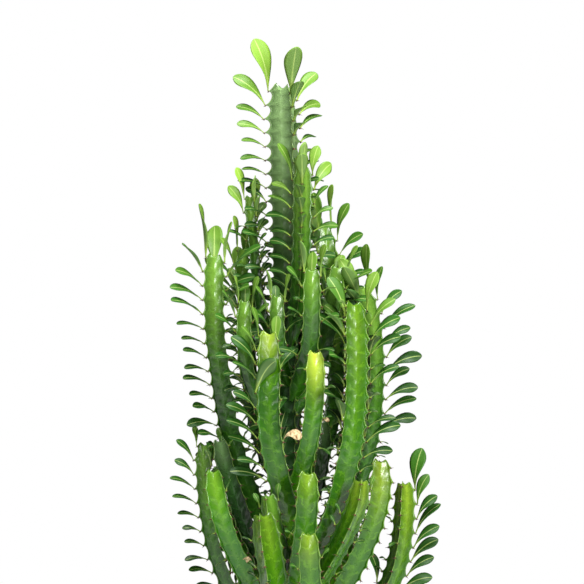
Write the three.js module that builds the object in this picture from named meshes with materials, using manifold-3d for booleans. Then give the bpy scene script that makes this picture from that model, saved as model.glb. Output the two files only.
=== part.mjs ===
// A potted euphorbia: one upright three-ribbed main stem, the leafy three-ribbed branches that grow
// from its ribs, and the soil and pot they stand in.
//
// Millimetres, +Z up. The origin is the middle of the pot's underside. -Y is the side that is seen
// first, and +X is to its right.

import * as THREE from "three";
import { mergeVertices } from "three/addons/utils/BufferGeometryUtils.js";
import Module from "manifold-3d";

const wasm = await Module();
wasm.setup();

// ---- driving dimensions ----

// Pot and soil
const POT_HEIGHT = 200;
const POT_BASE_RADIUS = 86;
const POT_TOP_RADIUS = 118;
const POT_WALL = 8;
const POT_FLOOR = 12;
const RIM_HEIGHT = 34;
const RIM_PROUD = 6;
const POT_SIDES = 24;
const SOIL_BELOW_RIM = 15;
const SOIL_MOUND = 5;

// What every stem has
const RIBS = 3;
const TOOTH_PITCH = 18; // along a rib, from tooth to tooth
const TOOTH_LEAN = 0.56; // where the dip lies between two teeth: past the middle, so teeth point up
const TOP_TOOTH = 0.35; // how far below the tip the first rib's highest tooth is, in rib radii
const GROOVE_STEP = 2.8 * TOOTH_PITCH; // between the points down a hollow face
const GROOVE_RADIUS = 0.36; // depth of the hollow faces, as a share of the rib radius
const NECK_RADIUS = 0.42; // the narrow neck at a branch's root, as a share of its rib radius
const NECK_LENGTH = 2.1; // in rib radii
const TIP_RADIUS = 0.5; // the blunt growing tip
const TIP_LENGTH = 1.5; // in rib radii
const TIP_SUNK = 0.3; // how far the faces end below the tip's three rib points, in rib radii
const TIP_STAGGER = 0.1; // how much lower each rib ends than the one before it, in rib radii

// Leaves and spines
const LEAF_WIDTH = 0.33; // of its length
const LEAF_THICKNESS = 1.6;
const LEAF_DROOP = 50; // degrees that an old leaf arches over, from its foot to its end
const YOUNG_RISE = 118; // how much steeper a leaf would stand at the very tip, in degrees, and
const YOUNG_RISE_REACH = 18; // how far down from the tip that fades
const YOUNG_SIZE_REACH = 55; // how far down the young leaves are longer
const BIG_LEAF = 50; // a leaf this long gets the finer outline
const LEAF_FOOT = 1.5; // half the width of its foot
const STEEPEST = 80; // degrees that the middle of a leaf may rise
const YOUNG_STRAIGHT = 0.7; // share of the droop, and
const YOUNG_BROAD = 0.35; // share more of the width, that the very youngest leaf has
// How much leaves differ: in length, as a share, and in degrees sideways, in rise and in roll
const LEAF_VARIES = { size: 0.36, yaw: 16, lift: 18, roll: 60 };
const LIGHT_ROLL = 60; // degrees that a leaf at the side rolls over to show its face to the front
const SPINE_LENGTH = 4;
const SPINE_WIDTH = 1.5;
const SPINE_INSET = 3; // from the tooth's point to the spine's foot
const SPINE_EVERY = 23; // one bare tooth in so many keeps its pair of spines

// Between two pieces that touch
const GAP = 0.35;
const STEM_ROOM = 1.7 * GAP; // that a piece leaves round the stem it gives way to
const LEAF_ROOM = 1.8 * GAP; // and round its leaves
const SOIL_ROOM = 3.4 * GAP; // the plain hole that the main stem stands in
// The room's sharp edges go out further, so that the faces on either side of them are far enough out
const RIDGE_MITRE = 2.2;
const KEEL_MITRE = 3;
const SMALLEST_DETAIL = 0.15; // slivers under this are smoothed away where a piece gave way

// Greens of the skin, from the shaded older stems to the youngest tips
const GREEN = { deep: 0x2f6b14, mid: 0x4a8c1c, bright: 0x6cab2c, young: 0xa8c948 };
const SOIL_COLOUR = 0x3a2a1e;
const POT_COLOUR = 0xb0603c;

// ---- the plant ----
// route: points that the middle of the stem passes through, from its root to its tip
// radius: from the middle to a tooth; turn: which way the first rib faces at the tip, in degrees;
// dip: how far the ribs fall back between two teeth, as a share of the radius
// leafy: share of the teeth that carry a leaf, on each rib; reach: how far down from the tip they go
// leaf: an old leaf's length; lush: how much longer the young ones are; rise: how steeply the old
// ones stand, in degrees
// crossing: one leaf that has swung round across the front of its stem

const MAIN_STEM = {
  name: "main_stem", seed: 11, radius: 29, turn: 170, dip: 0.28, green: "deep", trunk: true,
  route: [[0, 0, 128], [0, 0, 190], [1, 0, 420], [2, 0, 700], [-1, 0, 880], [-5, 0, 988]],
  leafy: [1, 0.9, 0.9], reach: 340, leaf: 36, lush: 0.85, rise: 12,
};

const BRANCHES = [
  // in front, from the top down
  { name: "upper_front_branch", seed: 21, radius: 17, turn: 268, dip: 0.24, green: "mid",
    route: [[5, -16, 647], [14, -42, 705], [17, -48, 763], [18, -50, 820], [19, -50, 877]],
    leafy: [1, 1, 1], reach: 225, leaf: 32, lush: 0.4, rise: 16 },
  { name: "centre_mid_branch", seed: 22, radius: 15, turn: 210, dip: 0.2, green: "mid",
    route: [[6, -16, 576], [18, -50, 613], [28, -74, 655], [30, -86, 699], [30, -88, 746]],
    leafy: [0.5, 0.6, 0.8], reach: 130, leaf: 26, lush: 0.4, rise: 20 },
  { name: "centre_short_branch", seed: 23, radius: 13, turn: 215, dip: 0.2, green: "mid",
    route: [[1, -16, 595], [-10, -48, 635], [-14, -60, 674], [-14, -60, 713]],
    leafy: [0.8, 0.8, 0.8], reach: 90, leaf: 26, lush: 0.4, rise: 30 },
  { name: "left_front_branch", seed: 24, radius: 20, turn: 188, dip: 0.15, green: "bright",
    route: [[4, -16, 385], [4, -60, 432], [-7, -84, 479], [-17, -94, 524], [-21, -98, 568],
      [-20, -100, 618], [-22, -100, 668]],
    leafy: [1, 0, 0.5], reach: 230, leaf: 44, lush: 0, rise: 36,
    crossing: { rib: 0, tooth: 4, turn: 122, rise: 48, roll: -75, leaf: 60 } },
  { name: "mid_front_branch", seed: 25, radius: 15.5, turn: 212, dip: 0.16, green: "bright",
    route: [[4, -16, 421], [10, -50, 457], [19, -76, 497], [29, -92, 542], [34, -98, 593], [34, -100, 643]],
    leafy: [0.2, 0.1, 0.5], reach: 150, leaf: 24, lush: 0, rise: 30 },
  { name: "right_front_branch", seed: 26, radius: 22, turn: 238, dip: 0.22, green: "bright",
    route: [[6, -16, 330], [26, -40, 370], [46, -62, 413], [60, -74, 453], [69, -80, 491],
      [77, -82, 529], [82, -80, 586], [83, -80, 649], [81, -78, 705]],
    leafy: [0.3, 0.9, 0.8], reach: 240, leaf: 46, lush: 0.1, rise: 26 },
  { name: "front_short_branch", seed: 27, radius: 18, turn: 212, dip: 0.15, green: "bright",
    route: [[3, -16, 266], [8, -62, 318], [15, -100, 374], [21, -120, 420], [24, -128, 458], [25, -128, 495]],
    leafy: [0.1, 0.1, 0.4], reach: 120, leaf: 18, lush: 0, rise: 30 },
  { name: "front_low_branch", seed: 28, radius: 17, turn: 214, dip: 0.15, green: "bright",
    route: [[6, -18, 236], [22, -90, 290], [28, -140, 340], [26, -162, 389], [25, -165, 424]],
    leafy: [0.1, 0.1, 0.3], reach: 90, leaf: 16, lush: 0, rise: 30 },
  { name: "front_left_low_branch", seed: 29, radius: 23, turn: 258, dip: 0.15, green: "bright",
    route: [[2, -18, 214], [-14, -66, 258], [-16, -114, 310], [-20, -142, 362], [-28, -150, 412],
      [-32, -152, 447]],
    leafy: [0, 0.1, 0.3], reach: 100, leaf: 18, lush: 0, rise: 20 },
  { name: "front_left_back_branch", seed: 30, radius: 16, turn: 260, dip: 0.16, green: "mid",
    route: [[0, -16, 310], [-4, -62, 350], [-11, -96, 392], [-21, -108, 431], [-26, -110, 465]],
    leafy: [0.1, 0.2, 0.4], reach: 100, leaf: 20, lush: 0, rise: 25 },

  // on the right
  { name: "upper_right_back_branch", seed: 31, radius: 17, turn: 350, dip: 0.22, green: "mid",
    route: [[14, 13, 594], [37, 20, 646], [50, 18, 705], [51, 16, 755], [44, 12, 804]],
    leafy: [1, 0.9, 0.9], reach: 170, leaf: 36, lush: 0.55, rise: 24 },
  { name: "right_mid_branch", seed: 32, radius: 15, turn: 212, dip: 0.2, green: "mid",
    route: [[9, -14, 556], [28, -24, 600], [48, -30, 654], [58, -32, 705], [64, -30, 750]],
    leafy: [0.8, 1, 0.8], reach: 130, leaf: 34, lush: 0.2, rise: 14 },
  { name: "right_back_branch", seed: 33, radius: 17, turn: 8, dip: 0.24, green: "mid",
    route: [[15, 14, 307], [34, 14, 346], [65, 6, 405], [91, 0, 471], [106, -5, 536], [111, -10, 601],
      [108, -18, 666], [93, -25, 724]],
    leafy: [1, 0.8, 0.8], reach: 250, leaf: 46, lush: 0.1, rise: 28 },
  { name: "mid_right_back_branch", seed: 34, radius: 13, turn: 230, dip: 0.2, green: "deep",
    route: [[8, -16, 393], [21, -22, 428], [36, -36, 468], [44, -42, 513], [44, -40, 552]],
    leafy: [0.9, 0.7, 0.9], reach: 130, leaf: 26, lush: 0, rise: 26 },
  { name: "right_low_inner_branch", seed: 35, radius: 18, turn: 270, dip: 0.18, green: "bright",
    route: [[6, -16, 289], [32, -62, 337], [53, -88, 376], [71, -104, 412], [86, -112, 450], [92, -112, 484]],
    leafy: [0, 0.1, 0.2], reach: 100, leaf: 16, lush: 0, rise: 30 },
  { name: "right_low_branch", seed: 36, radius: 18, turn: 216, dip: 0.22, green: "bright",
    route: [[15, 12, 262], [42, -8, 298], [72, -40, 344], [94, -54, 387], [109, -60, 426],
      [117, -62, 464], [117, -62, 505]],
    leafy: [0.1, 0.1, 0.1], reach: 60, leaf: 16, lush: 0, rise: 40 },
  { name: "right_outer_branch", seed: 37, radius: 19, turn: 256, dip: 0.22, green: "bright",
    route: [[15, 14, 214], [36, 12, 232], [73, 0, 256], [111, -14, 302], [134, -22, 348],
      [144, -26, 390], [148, -26, 428], [149, -25, 473]],
    leafy: [0, 1, 0.4], reach: 210, leaf: 42, lush: 0.2, rise: 42 },

  // on the left
  { name: "left_thin_branch", seed: 41, radius: 11, turn: 180, dip: 0.24, green: "mid",
    route: [[-18, 7, 651], [-33, 14, 694], [-40, 14, 744], [-45, 12, 796], [-49, 10, 842]],
    leafy: [0.8, 0.7, 0.4], reach: 150, leaf: 26, lush: 0.4, rise: 30 },
  { name: "left_inner_branch", seed: 42, radius: 12, turn: 200, dip: 0.22, green: "mid",
    route: [[-18, 7, 620], [-40, 20, 659], [-56, 26, 698], [-60, 26, 738], [-58, 24, 774]],
    leafy: [1, 0.9, 0.8], reach: 150, leaf: 32, lush: 0.4, rise: 24 },
  { name: "left_centre_branch", seed: 43, radius: 13, turn: 210, dip: 0.2, green: "mid",
    route: [[-18, 2, 529], [-36, -18, 570], [-52, -36, 615], [-56, -42, 660], [-55, -42, 706]],
    leafy: [0.9, 0.8, 0.9], reach: 150, leaf: 30, lush: 0.3, rise: 26 },
  { name: "left_tall_branch", seed: 44, radius: 18, turn: 214, dip: 0.24, green: "mid",
    route: [[-18, 5, 393], [-32, 12, 419], [-52, 16, 458], [-70, 16, 511], [-82, 10, 563],
      [-89, 0, 614], [-95, -8, 666], [-96, -10, 718], [-95, -10, 766]],
    leafy: [1, 0.8, 1], reach: 320, leaf: 42, lush: 0.5, rise: 20 },
  { name: "left_dark_branch", seed: 45, radius: 15, turn: 205, dip: 0.16, green: "deep",
    route: [[-18, 3, 340], [-30, -8, 367], [-50, -20, 406], [-67, -26, 452], [-80, -26, 491],
      [-88, -26, 527]],
    leafy: [0.2, 0.1, 0.4], reach: 120, leaf: 22, lush: 0, rise: 30 },
  { name: "left_bright_branch", seed: 46, radius: 16, turn: 200, dip: 0.15, green: "young",
    route: [[-18, 2, 285], [-34, -24, 316], [-55, -46, 360], [-75, -58, 405], [-88, -62, 450],
      [-94, -60, 491]],
    leafy: [0.1, 0.1, 0.4], reach: 120, leaf: 18, lush: 0, rise: 30 },
  { name: "left_outer_branch", seed: 47, radius: 15, turn: 186, dip: 0.24, green: "mid",
    route: [[-18, 5, 248], [-42, 6, 280], [-73, 0, 329], [-93, -6, 382], [-103, -8, 434],
      [-107, -8, 479], [-107, -8, 521]],
    leafy: [1, 0.3, 0.8], reach: 230, leaf: 28, lush: 0.6, rise: 22 },

  // on the far side
  { name: "back_centre_branch", seed: 51, radius: 17, turn: 92, dip: 0.2, green: "mid",
    route: [[15, 15, 612], [18, 46, 655], [14, 62, 705], [15, 66, 760], [14, 64, 812]],
    leafy: [0.9, 0.7, 0.7], reach: 150, leaf: 34, lush: 0.4, rise: 20 },
  { name: "back_left_branch", seed: 52, radius: 16, turn: 130, dip: 0.2, green: "mid",
    route: [[-18, 7, 470], [-36, 38, 515], [-50, 62, 570], [-56, 68, 640], [-56, 68, 728]],
    leafy: [0.9, 0.5, 0.4], reach: 190, leaf: 34, lush: 0.4, rise: 22 },
  { name: "back_right_branch", seed: 53, radius: 17, turn: 60, dip: 0.2, green: "mid",
    route: [[15, 15, 430], [36, 40, 470], [58, 62, 530], [68, 70, 610], [68, 70, 702]],
    leafy: [0.9, 0.5, 0.5], reach: 190, leaf: 36, lush: 0.4, rise: 22 },
  { name: "back_low_branch", seed: 54, radius: 18, turn: 95, dip: 0.2, green: "bright",
    route: [[14, 16, 362], [12, 58, 396], [6, 92, 440], [4, 106, 500], [4, 108, 590]],
    leafy: [0.7, 0.4, 0.3], reach: 150, leaf: 34, lush: 0.2, rise: 26 },
  { name: "back_low_left_branch", seed: 55, radius: 17, turn: 125, dip: 0.2, green: "bright",
    route: [[-18, 7, 308], [-38, 46, 340], [-62, 82, 385], [-74, 98, 440], [-76, 100, 520]],
    leafy: [0.6, 0.4, 0.2], reach: 130, leaf: 30, lush: 0.2, rise: 28 },
  { name: "back_low_right_branch", seed: 56, radius: 18, turn: 50, dip: 0.2, green: "bright",
    route: [[15, 16, 258], [42, 48, 296], [74, 82, 350], [88, 98, 410], [90, 100, 496]],
    leafy: [0.6, 0.3, 0.3], reach: 130, leaf: 32, lush: 0.2, rise: 30 },
];

// ---- drawing lots ----

// A small seeded generator, so that the plant grows the same way every time
function seededDraws(seed) {
  let state = seed * 7919 + 1;
  return () => {
    state = (state * 16807) % 2147483647;
    return state / 2147483647;
  };
}

// ---- skins ----

// A skin is a list of points and a list of triangles, whose corners run anticlockwise as seen from
// outside.
function emptySkin() {
  return { points: [], triangles: [] };
}

function addPoint(skin, point) {
  skin.points.push(point);
  return skin.points.length - 1;
}

// The strip between two columns of { s, index } entries, s being the distance along. The columns
// may have different numbers of entries: each triangle takes the one that comes next.
function addStrip(skin, left, right) {
  let i = 0;
  let j = 0;
  while (i < left.length - 1 || j < right.length - 1) {
    const leftIsNext = j === right.length - 1
      || (i < left.length - 1 && left[i + 1].s <= right[j + 1].s);
    if (leftIsNext) {
      skin.triangles.push([left[i].index, right[j].index, left[i + 1].index]);
      i += 1;
    } else {
      skin.triangles.push([left[i].index, right[j].index, right[j + 1].index]);
      j += 1;
    }
  }
}

function solidFromSkin(skin) {
  return new wasm.Manifold(new wasm.Mesh({
    numProp: 3,
    vertProperties: new Float32Array(skin.points.flatMap((point) => point.toArray())),
    triVerts: new Uint32Array(skin.triangles.flat()),
  }));
}

// ---- the middle line of a stem ----

const STEPS_PER_LEG = 10;

// Places along the stem with a frame at each: "ahead" along the stem, "rib" towards its first rib
// and "side" at right angles to both. The frame is carried down from the tip without twisting.
function middleLine(stem) {
  const points = stem.route.map((p) => new THREE.Vector3(...p));
  const curve = new THREE.CatmullRomCurve3(points, false, "catmullrom", 0.5);
  const places = curve.getPoints((points.length - 1) * STEPS_PER_LEG);
  const last = places.length - 1;
  const line = places.map((place, i) => ({
    place,
    ahead: places[Math.min(i + 1, last)].clone().sub(places[Math.max(i - 1, 0)]).normalize(),
    s: 0,
  }));
  for (let i = 1; i <= last; i += 1) {
    line[i].s = line[i - 1].s + line[i].place.distanceTo(line[i - 1].place);
  }
  const turn = THREE.MathUtils.degToRad(stem.turn);
  let rib = new THREE.Vector3(Math.cos(turn), Math.sin(turn), 0);
  for (let i = last; i >= 0; i -= 1) {
    rib = acrossTo(rib, line[i].ahead);
    line[i].rib = rib;
  }
  return line;
}

// The part of a direction that lies across another, at length 1
function acrossTo(direction, ahead) {
  return direction.clone().addScaledVector(ahead, -direction.dot(ahead)).normalize();
}

// Place and frame at a distance along the stem
function frameAt(line, s) {
  let i = 1;
  while (i < line.length - 1 && line[i].s < s) {
    i += 1;
  }
  const from = line[i - 1];
  const to = line[i];
  const share = (s - from.s) / (to.s - from.s);
  const ahead = from.ahead.clone().lerp(to.ahead, share).normalize();
  const rib = acrossTo(from.rib.clone().lerp(to.rib, share), ahead);
  return {
    place: from.place.clone().lerp(to.place, share),
    ahead,
    rib,
    side: ahead.clone().cross(rib),
  };
}

function stemLength(line) {
  return line[line.length - 1].s;
}

// Unit direction at an angle round the stem, from its first rib
function outwardAt(frame, angle) {
  return frame.rib.clone().multiplyScalar(Math.cos(angle))
    .addScaledVector(frame.side, Math.sin(angle));
}

// ---- stems ----

function smooth(x) {
  const t = Math.min(1, Math.max(0, x));
  return t * t * (3 - 2 * t);
}

// Share of the full rib radius that the stem has at a distance along: narrow at its neck and tip
function girth(stem, length, s) {
  const fromTip = (length - s) / (TIP_LENGTH * stem.radius);
  const tip = TIP_RADIUS + (1 - TIP_RADIUS) * Math.sqrt(Math.min(1, Math.max(0, fromTip)));
  if (stem.trunk) {
    return tip;
  }
  const neck = NECK_RADIUS + (1 - NECK_RADIUS) * smooth(s / (NECK_LENGTH * stem.radius));
  return Math.min(tip, neck);
}

// Distances of the teeth on one rib. The three ribs' teeth are staggered.
function toothPlaces(stem, length, rib) {
  const teeth = [];
  const highest = length - TOP_TOOTH * stem.radius;
  const lowest = stem.trunk ? SOIL_TOP - stem.route[0][2] + TOOTH_PITCH : NECK_LENGTH * stem.radius;
  for (let s = highest - (rib * TOOTH_PITCH) / RIBS; s > lowest; s -= TOOTH_PITCH) {
    teeth.push(s);
  }
  return teeth;
}

// The point of a tooth
function toothPoint(stem, line, s, rib) {
  const frame = frameAt(line, s);
  const radius = stem.radius * girth(stem, stemLength(line), s);
  return frame.place.addScaledVector(outwardAt(frame, rib * RIB_ANGLE), radius);
}

const RIB_ANGLE = (2 * Math.PI) / RIBS;
const SOIL_TOP = POT_HEIGHT - SOIL_BELOW_RIM;

// The three ribs and the three hollow faces between them, with the leaves and spines that grow from
// the ribs' teeth. "more" is added all round, for the room that a neighbour has to leave, and that
// has its leaves apart.
function stemSkin(stem, line, own, more = 0) {
  const length = stemLength(line);
  const skin = emptySkin();
  const low = 1 - stem.dip;
  const end = length - TIP_SUNK * stem.radius;
  const pointAt = (s, angle, share, room = more) => {
    const frame = frameAt(line, s);
    const radius = stem.radius * girth(stem, length, s) * share + room;
    const point = frame.place.addScaledVector(outwardAt(frame, angle), radius);
    return { s, index: addPoint(skin, point) };
  };
  const ridgeRoom = more * RIDGE_MITRE;
  const tip = addPoint(skin, frameAt(line, end + more).place);
  const ridges = [];
  const grooves = [];
  for (let rib = 0; rib < RIBS; rib += 1) {
    const angle = rib * RIB_ANGLE;
    // a ridge has a point for each tooth and each dip, and a leaf's tooth has one on either side
    const ridge = { left: [pointAt(0, angle, low, ridgeRoom)], teeth: [] };
    ridge.right = [...ridge.left];
    const teeth = toothPlaces(stem, length, rib).reverse();
    teeth.forEach((tooth, n) => {
      const before = n === 0 ? tooth - TOOTH_PITCH : teeth[n - 1];
      const dip = pointAt(before + TOOTH_LEAN * (tooth - before), angle, low, ridgeRoom);
      const outward = outwardAt(frameAt(line, tooth), angle);
      const leaf = own.find((entry) => entry.rib === rib && entry.s === tooth);
      if (leaf) {
        const foot = leafStations(leaf.leaf, more)[0];
        const [right, left, keel] = foot.ring.map(
          (point) => addPoint(skin, point.addScaledVector(outward, ridgeRoom)));
        ridge.teeth.push({ leaf: leaf.leaf, right, left, keel, dip: dip.index, at: ridge.left.length + 1 });
        ridge.left.push(dip, { s: tooth, index: left });
        ridge.right.push(dip, { s: tooth, index: right });
      } else {
        const point = pointAt(tooth, angle, 1, ridgeRoom);
        const chosen = (n + rib + stem.seed) % SPINE_EVERY === 0;
        const spiny = chosen && isFree(toothPoint(stem, line, tooth, rib), stem);
        ridge.teeth.push({ point: point.index, dip: dip.index, spiny, outward });
        ridge.left.push(dip, point);
        ridge.right.push(dip, point);
      }
    });
    const last = pointAt(length - rib * TIP_STAGGER * stem.radius + more, angle, 1, ridgeRoom);
    ridge.left.push(last);
    ridge.right.push(last);
    ridges.push(ridge);

    const groove = [pointAt(0, angle + RIB_ANGLE / 2, stem.trunk ? GROOVE_RADIUS : low)];
    const pieces = Math.ceil((length - stem.radius) / GROOVE_STEP);
    for (let n = 1; n <= pieces; n += 1) {
      groove.push(pointAt((end * n) / (pieces + 1), angle + RIB_ANGLE / 2, GROOVE_RADIUS));
    }
    groove.push(pointAt(end, angle + RIB_ANGLE / 2, GROOVE_RADIUS * 1.3));
    grooves.push(groove);
  }
  ridges.forEach((ridge, rib) => {
    const next = (rib + 1) % RIBS;
    addStrip(skin, ridge.right, grooves[rib]);
    addStrip(skin, grooves[rib], ridges[next].left);
  });
  closeEnds(skin, ridges, grooves, tip);
  for (const ridge of ridges) {
    for (const tooth of ridge.teeth.filter((entry) => entry.leaf)) {
      openTooth(skin, ridge, tooth);
      if (more > 0) {
        skin.triangles.push([tooth.right, tooth.left, tooth.keel]);
      } else {
        addBlade(skin, [tooth.right, tooth.left, tooth.keel], leafStations(tooth.leaf), tooth.leaf.roll);
      }
    }
  }
  for (const tooth of ridges.flatMap((ridge) => ridge.teeth).filter((entry) => entry.spiny)) {
    raiseSpine(skin, tooth.dip, tooth.point, tooth, more);
    raiseSpine(skin, tooth.point, tooth.dip, tooth, more);
  }
  return skin;
}

// The foot of the stem as a fan from its first groove, and its tip as a fan round the last point
function closeEnds(skin, ridges, grooves, tip) {
  const round = ridges.flatMap((ridge, rib) => [ridge.left, grooves[rib]]);
  const feet = round.map((column) => column[0].index);
  const tops = round.map((column) => column[column.length - 1].index);
  for (let c = 2; c < feet.length; c += 1) {
    skin.triangles.push([feet[1], feet[(c + 1) % feet.length], feet[c]]);
  }
  tops.forEach((index, c) => {
    skin.triangles.push([index, tops[(c + 1) % tops.length], tip]);
  });
}

// ---- leaves ----

// Stations along the blade: distance from its foot and width there, as shares of the whole
const LEAF_OUTLINE = [[0.48, 0.88], [0.82, 0.9]];
const BIG_LEAF_OUTLINE = [[0.34, 0.6], [0.64, 1], [0.87, 0.78]];

// The rings of points along a leaf. It leaves its tooth outwards, rises, arches over towards its
// end and rolls a little about itself. Each ring has a right, a left and a keel point.
function leafStations(leaf, more = 0) {
  const outline = [[0, 0], ...(leaf.length > BIG_LEAF ? BIG_LEAF_OUTLINE : LEAF_OUTLINE), [1, 0]];
  const side = leaf.up.clone().cross(leaf.out);
  let place = leaf.foot.clone();
  let before = 0;
  return outline.map(([share, width]) => {
    const midway = leaf.rise - leaf.droop * 0.5 * (share + before);
    place = place.clone().addScaledVector(swung(leaf.out, leaf.up, midway), leaf.length * (share - before));
    before = share;
    const angle = leaf.rise - leaf.droop * share;
    const over = swung(leaf.up, leaf.out, -angle);
    const roll = leaf.roll * share;
    const right = swung(side, over, roll);
    const above = swung(over, side, -roll);
    const bare = share === 0 ? LEAF_FOOT : 0.5 * leaf.width * width;
    const half = bare + more * (1 + bare);
    const keel = above.clone().multiplyScalar(-LEAF_THICKNESS - KEEL_MITRE * more);
    const top = place.clone().addScaledVector(above, more);
    return {
      share,
      place,
      ring: [
        top.clone().addScaledVector(right, half),
        top.clone().addScaledVector(right, -half),
        place.clone().add(keel),
      ],
      heading: swung(leaf.out, leaf.up, angle),
      right,
      above,
    };
  });
}

// One direction turned by an angle towards another that is at right angles to it
function swung(from, towards, angle) {
  return from.clone().multiplyScalar(Math.cos(angle)).addScaledVector(towards, Math.sin(angle));
}

// The ridge at a tooth that has a leaf: open between its right, left and keel points
function openTooth(skin, ridge, tooth) {
  const below = ridge.left[tooth.at - 1].index;
  const above = ridge.left[tooth.at + 1].index;
  skin.triangles.push(
    [tooth.left, tooth.right, above],
    [below, tooth.right, tooth.keel],
    [below, tooth.keel, tooth.left],
  );
}

// A fleshy spoon-shaped blade from a three-sided foot: flat above, with a keel for its midrib below.
// The way it rolls decides which way its sides are split in two, so that they bulge outwards.
function addBlade(skin, foot, stations, roll) {
  let ring = foot;
  for (const station of stations.slice(1, -1)) {
    const next = station.ring.map((point) => addPoint(skin, point));
    ring.forEach((corner, c) => {
      const d = (c + 1) % ring.length;
      if (roll > 0) {
        skin.triangles.push([corner, ring[d], next[c]], [ring[d], next[d], next[c]]);
      } else {
        skin.triangles.push([corner, ring[d], next[d]], [corner, next[d], next[c]]);
      }
    });
    ring = next;
  }
  const end = addPoint(skin, stations[stations.length - 1].place);
  ring.forEach((corner, c) => {
    skin.triangles.push([corner, ring[(c + 1) % ring.length], end]);
  });
}

// The leaf by itself, a little larger all round
function leafRoom(leaf, more) {
  const skin = emptySkin();
  const stations = leafStations(leaf, more);
  const foot = stations[0].ring.map((point) => addPoint(skin, point));
  skin.triangles.push([foot[2], foot[1], foot[0]]);
  stations[stations.length - 1].place.addScaledVector(stations[stations.length - 1].heading, more);
  addBlade(skin, foot, stations, leaf.roll);
  return solidFromSkin(skin);
}

// Ways to turn a leaf that meets a neighbour: sideways and upwards, in degrees, and its length
const LEAF_BENDS = [
  [0, 0, 1], [22, 0, 1], [-22, 0, 1], [0, 20, 1], [40, 8, 1], [-40, 8, 1], [26, 22, 0.9],
  [-26, 22, 0.9], [0, 34, 0.8], [60, 12, 0.75], [-60, 12, 0.75], [0, 8, 0.55],
];
const STEM_SHARE = 0.86; // of a neighbour's rib radius, and
const STEM_CLEARANCE = 2.4; // this much more, is its room
const TOOTH_CLEARANCE = 5; // a tooth nearer than this to another stem stays bare
const LONGEST_LEAF = 60;
const FLAT_CLEARANCE = 3; // between two blades that lie flat on each other, and
const BLADE_SHARE = { across: 0.42, along: 0.17 }; // of their widths and lengths, side by side

// A leaf, if one grows at this tooth, bent clear of the other stems and of the leaves before it
function leafAt(stem, line, s, rib, nth, draw, leaves) {
  const length = stemLength(line);
  const fromTip = length - s;
  const grows = draw() < stem.leafy[rib] && fromTip < stem.reach * (0.8 + 0.2 * draw());
  const size = 1 + LEAF_VARIES.size * (draw() - 0.5);
  const yaw = LEAF_VARIES.yaw * (draw() - 0.5);
  const lift = LEAF_VARIES.lift * (draw() - 0.5);
  const roll = LEAF_VARIES.roll * (draw() - 0.5);
  const foot = toothPoint(stem, line, s, rib);
  if (!grows || !isFree(foot, stem)) {
    return null;
  }
  const frame = frameAt(line, s);
  const outward = outwardAt(frame, rib * RIB_ANGLE);
  const sideways = frame.ahead.clone().cross(outward);
  const young = Math.exp(-fromTip / YOUNG_RISE_REACH);
  const lush = Math.exp(-((fromTip / YOUNG_SIZE_REACH) ** 2));
  const crosses = stem.crossing && stem.crossing.rib === rib && stem.crossing.tooth === nth;
  const full = crosses ? stem.crossing.leaf : stem.leaf * size * (1 + stem.lush * lush);
  const mean = crosses ? stem.crossing.rise : Math.min(STEEPEST, stem.rise + lift + YOUNG_RISE * young);
  const aside = crosses ? stem.crossing.turn : yaw;
  const rolled = THREE.MathUtils.degToRad(crosses ? stem.crossing.roll : roll + LIGHT_ROLL * sideways.y);
  const droop = LEAF_DROOP * (1 - YOUNG_STRAIGHT * young);
  for (const [turn, raise, share] of LEAF_BENDS) {
    const leaf = {
      foot,
      out: swung(outward, sideways, THREE.MathUtils.degToRad(aside + turn)),
      up: frame.ahead,
      rise: THREE.MathUtils.degToRad(Math.min(STEEPEST, mean + raise) + 0.5 * droop),
      droop: THREE.MathUtils.degToRad(droop),
      roll: rolled,
      length: full * share,
      width: full * share * LEAF_WIDTH * (1 + YOUNG_BROAD * young),
    };
    leaf.probes = leafStations(leaf).slice(1);
    if (isClear(leaf, stem, leaves)) {
      return leaf;
    }
  }
  return null;
}

// Whether a blade keeps clear of the other stems and of the leaves before it
function isClear(leaf, stem, leaves) {
  const reach = leaf.length + LONGEST_LEAF;
  return leaf.probes.every((probe) => nearestStem(probe.place, stem) > STEM_CLEARANCE)
    && leaves.every((taken) => taken.leaf.foot.distanceTo(leaf.foot) > reach
      || taken.leaf.probes.every((one) => leaf.probes.every((two) => areApart(one, two, taken.leaf, leaf))));
}

// Whether a tooth is free to carry a leaf or spines: none grow where a branch leaves its stem
function isFree(point, stem) {
  return nearestStem(point, stem) > TOOTH_CLEARANCE;
}

// From a point to the skin of the nearest stem other than its own
function nearestStem(point, stem) {
  let least = Infinity;
  for (const other of plant.filter((entry) => entry.stem !== stem)) {
    const length = stemLength(other.line);
    for (const { place, s } of other.line) {
      const radius = other.stem.radius * STEM_SHARE * girth(other.stem, length, s);
      least = Math.min(least, point.distanceTo(place) - radius);
    }
  }
  return least;
}

// Whether two places on two blades leave each other room, which is more along a blade and across
// it than over its flat side
function areApart(one, two, oneLeaf, twoLeaf) {
  const gap = two.place.clone().sub(one.place);
  const across = gap.dot(one.right) / (BLADE_SHARE.across * (oneLeaf.width + twoLeaf.width));
  const along = gap.dot(one.heading) / (BLADE_SHARE.along * (oneLeaf.length + twoLeaf.length));
  const over = gap.dot(one.above) / FLAT_CLEARANCE;
  return across * across + along * along + over * over > 1;
}

// ---- spines ----

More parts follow.
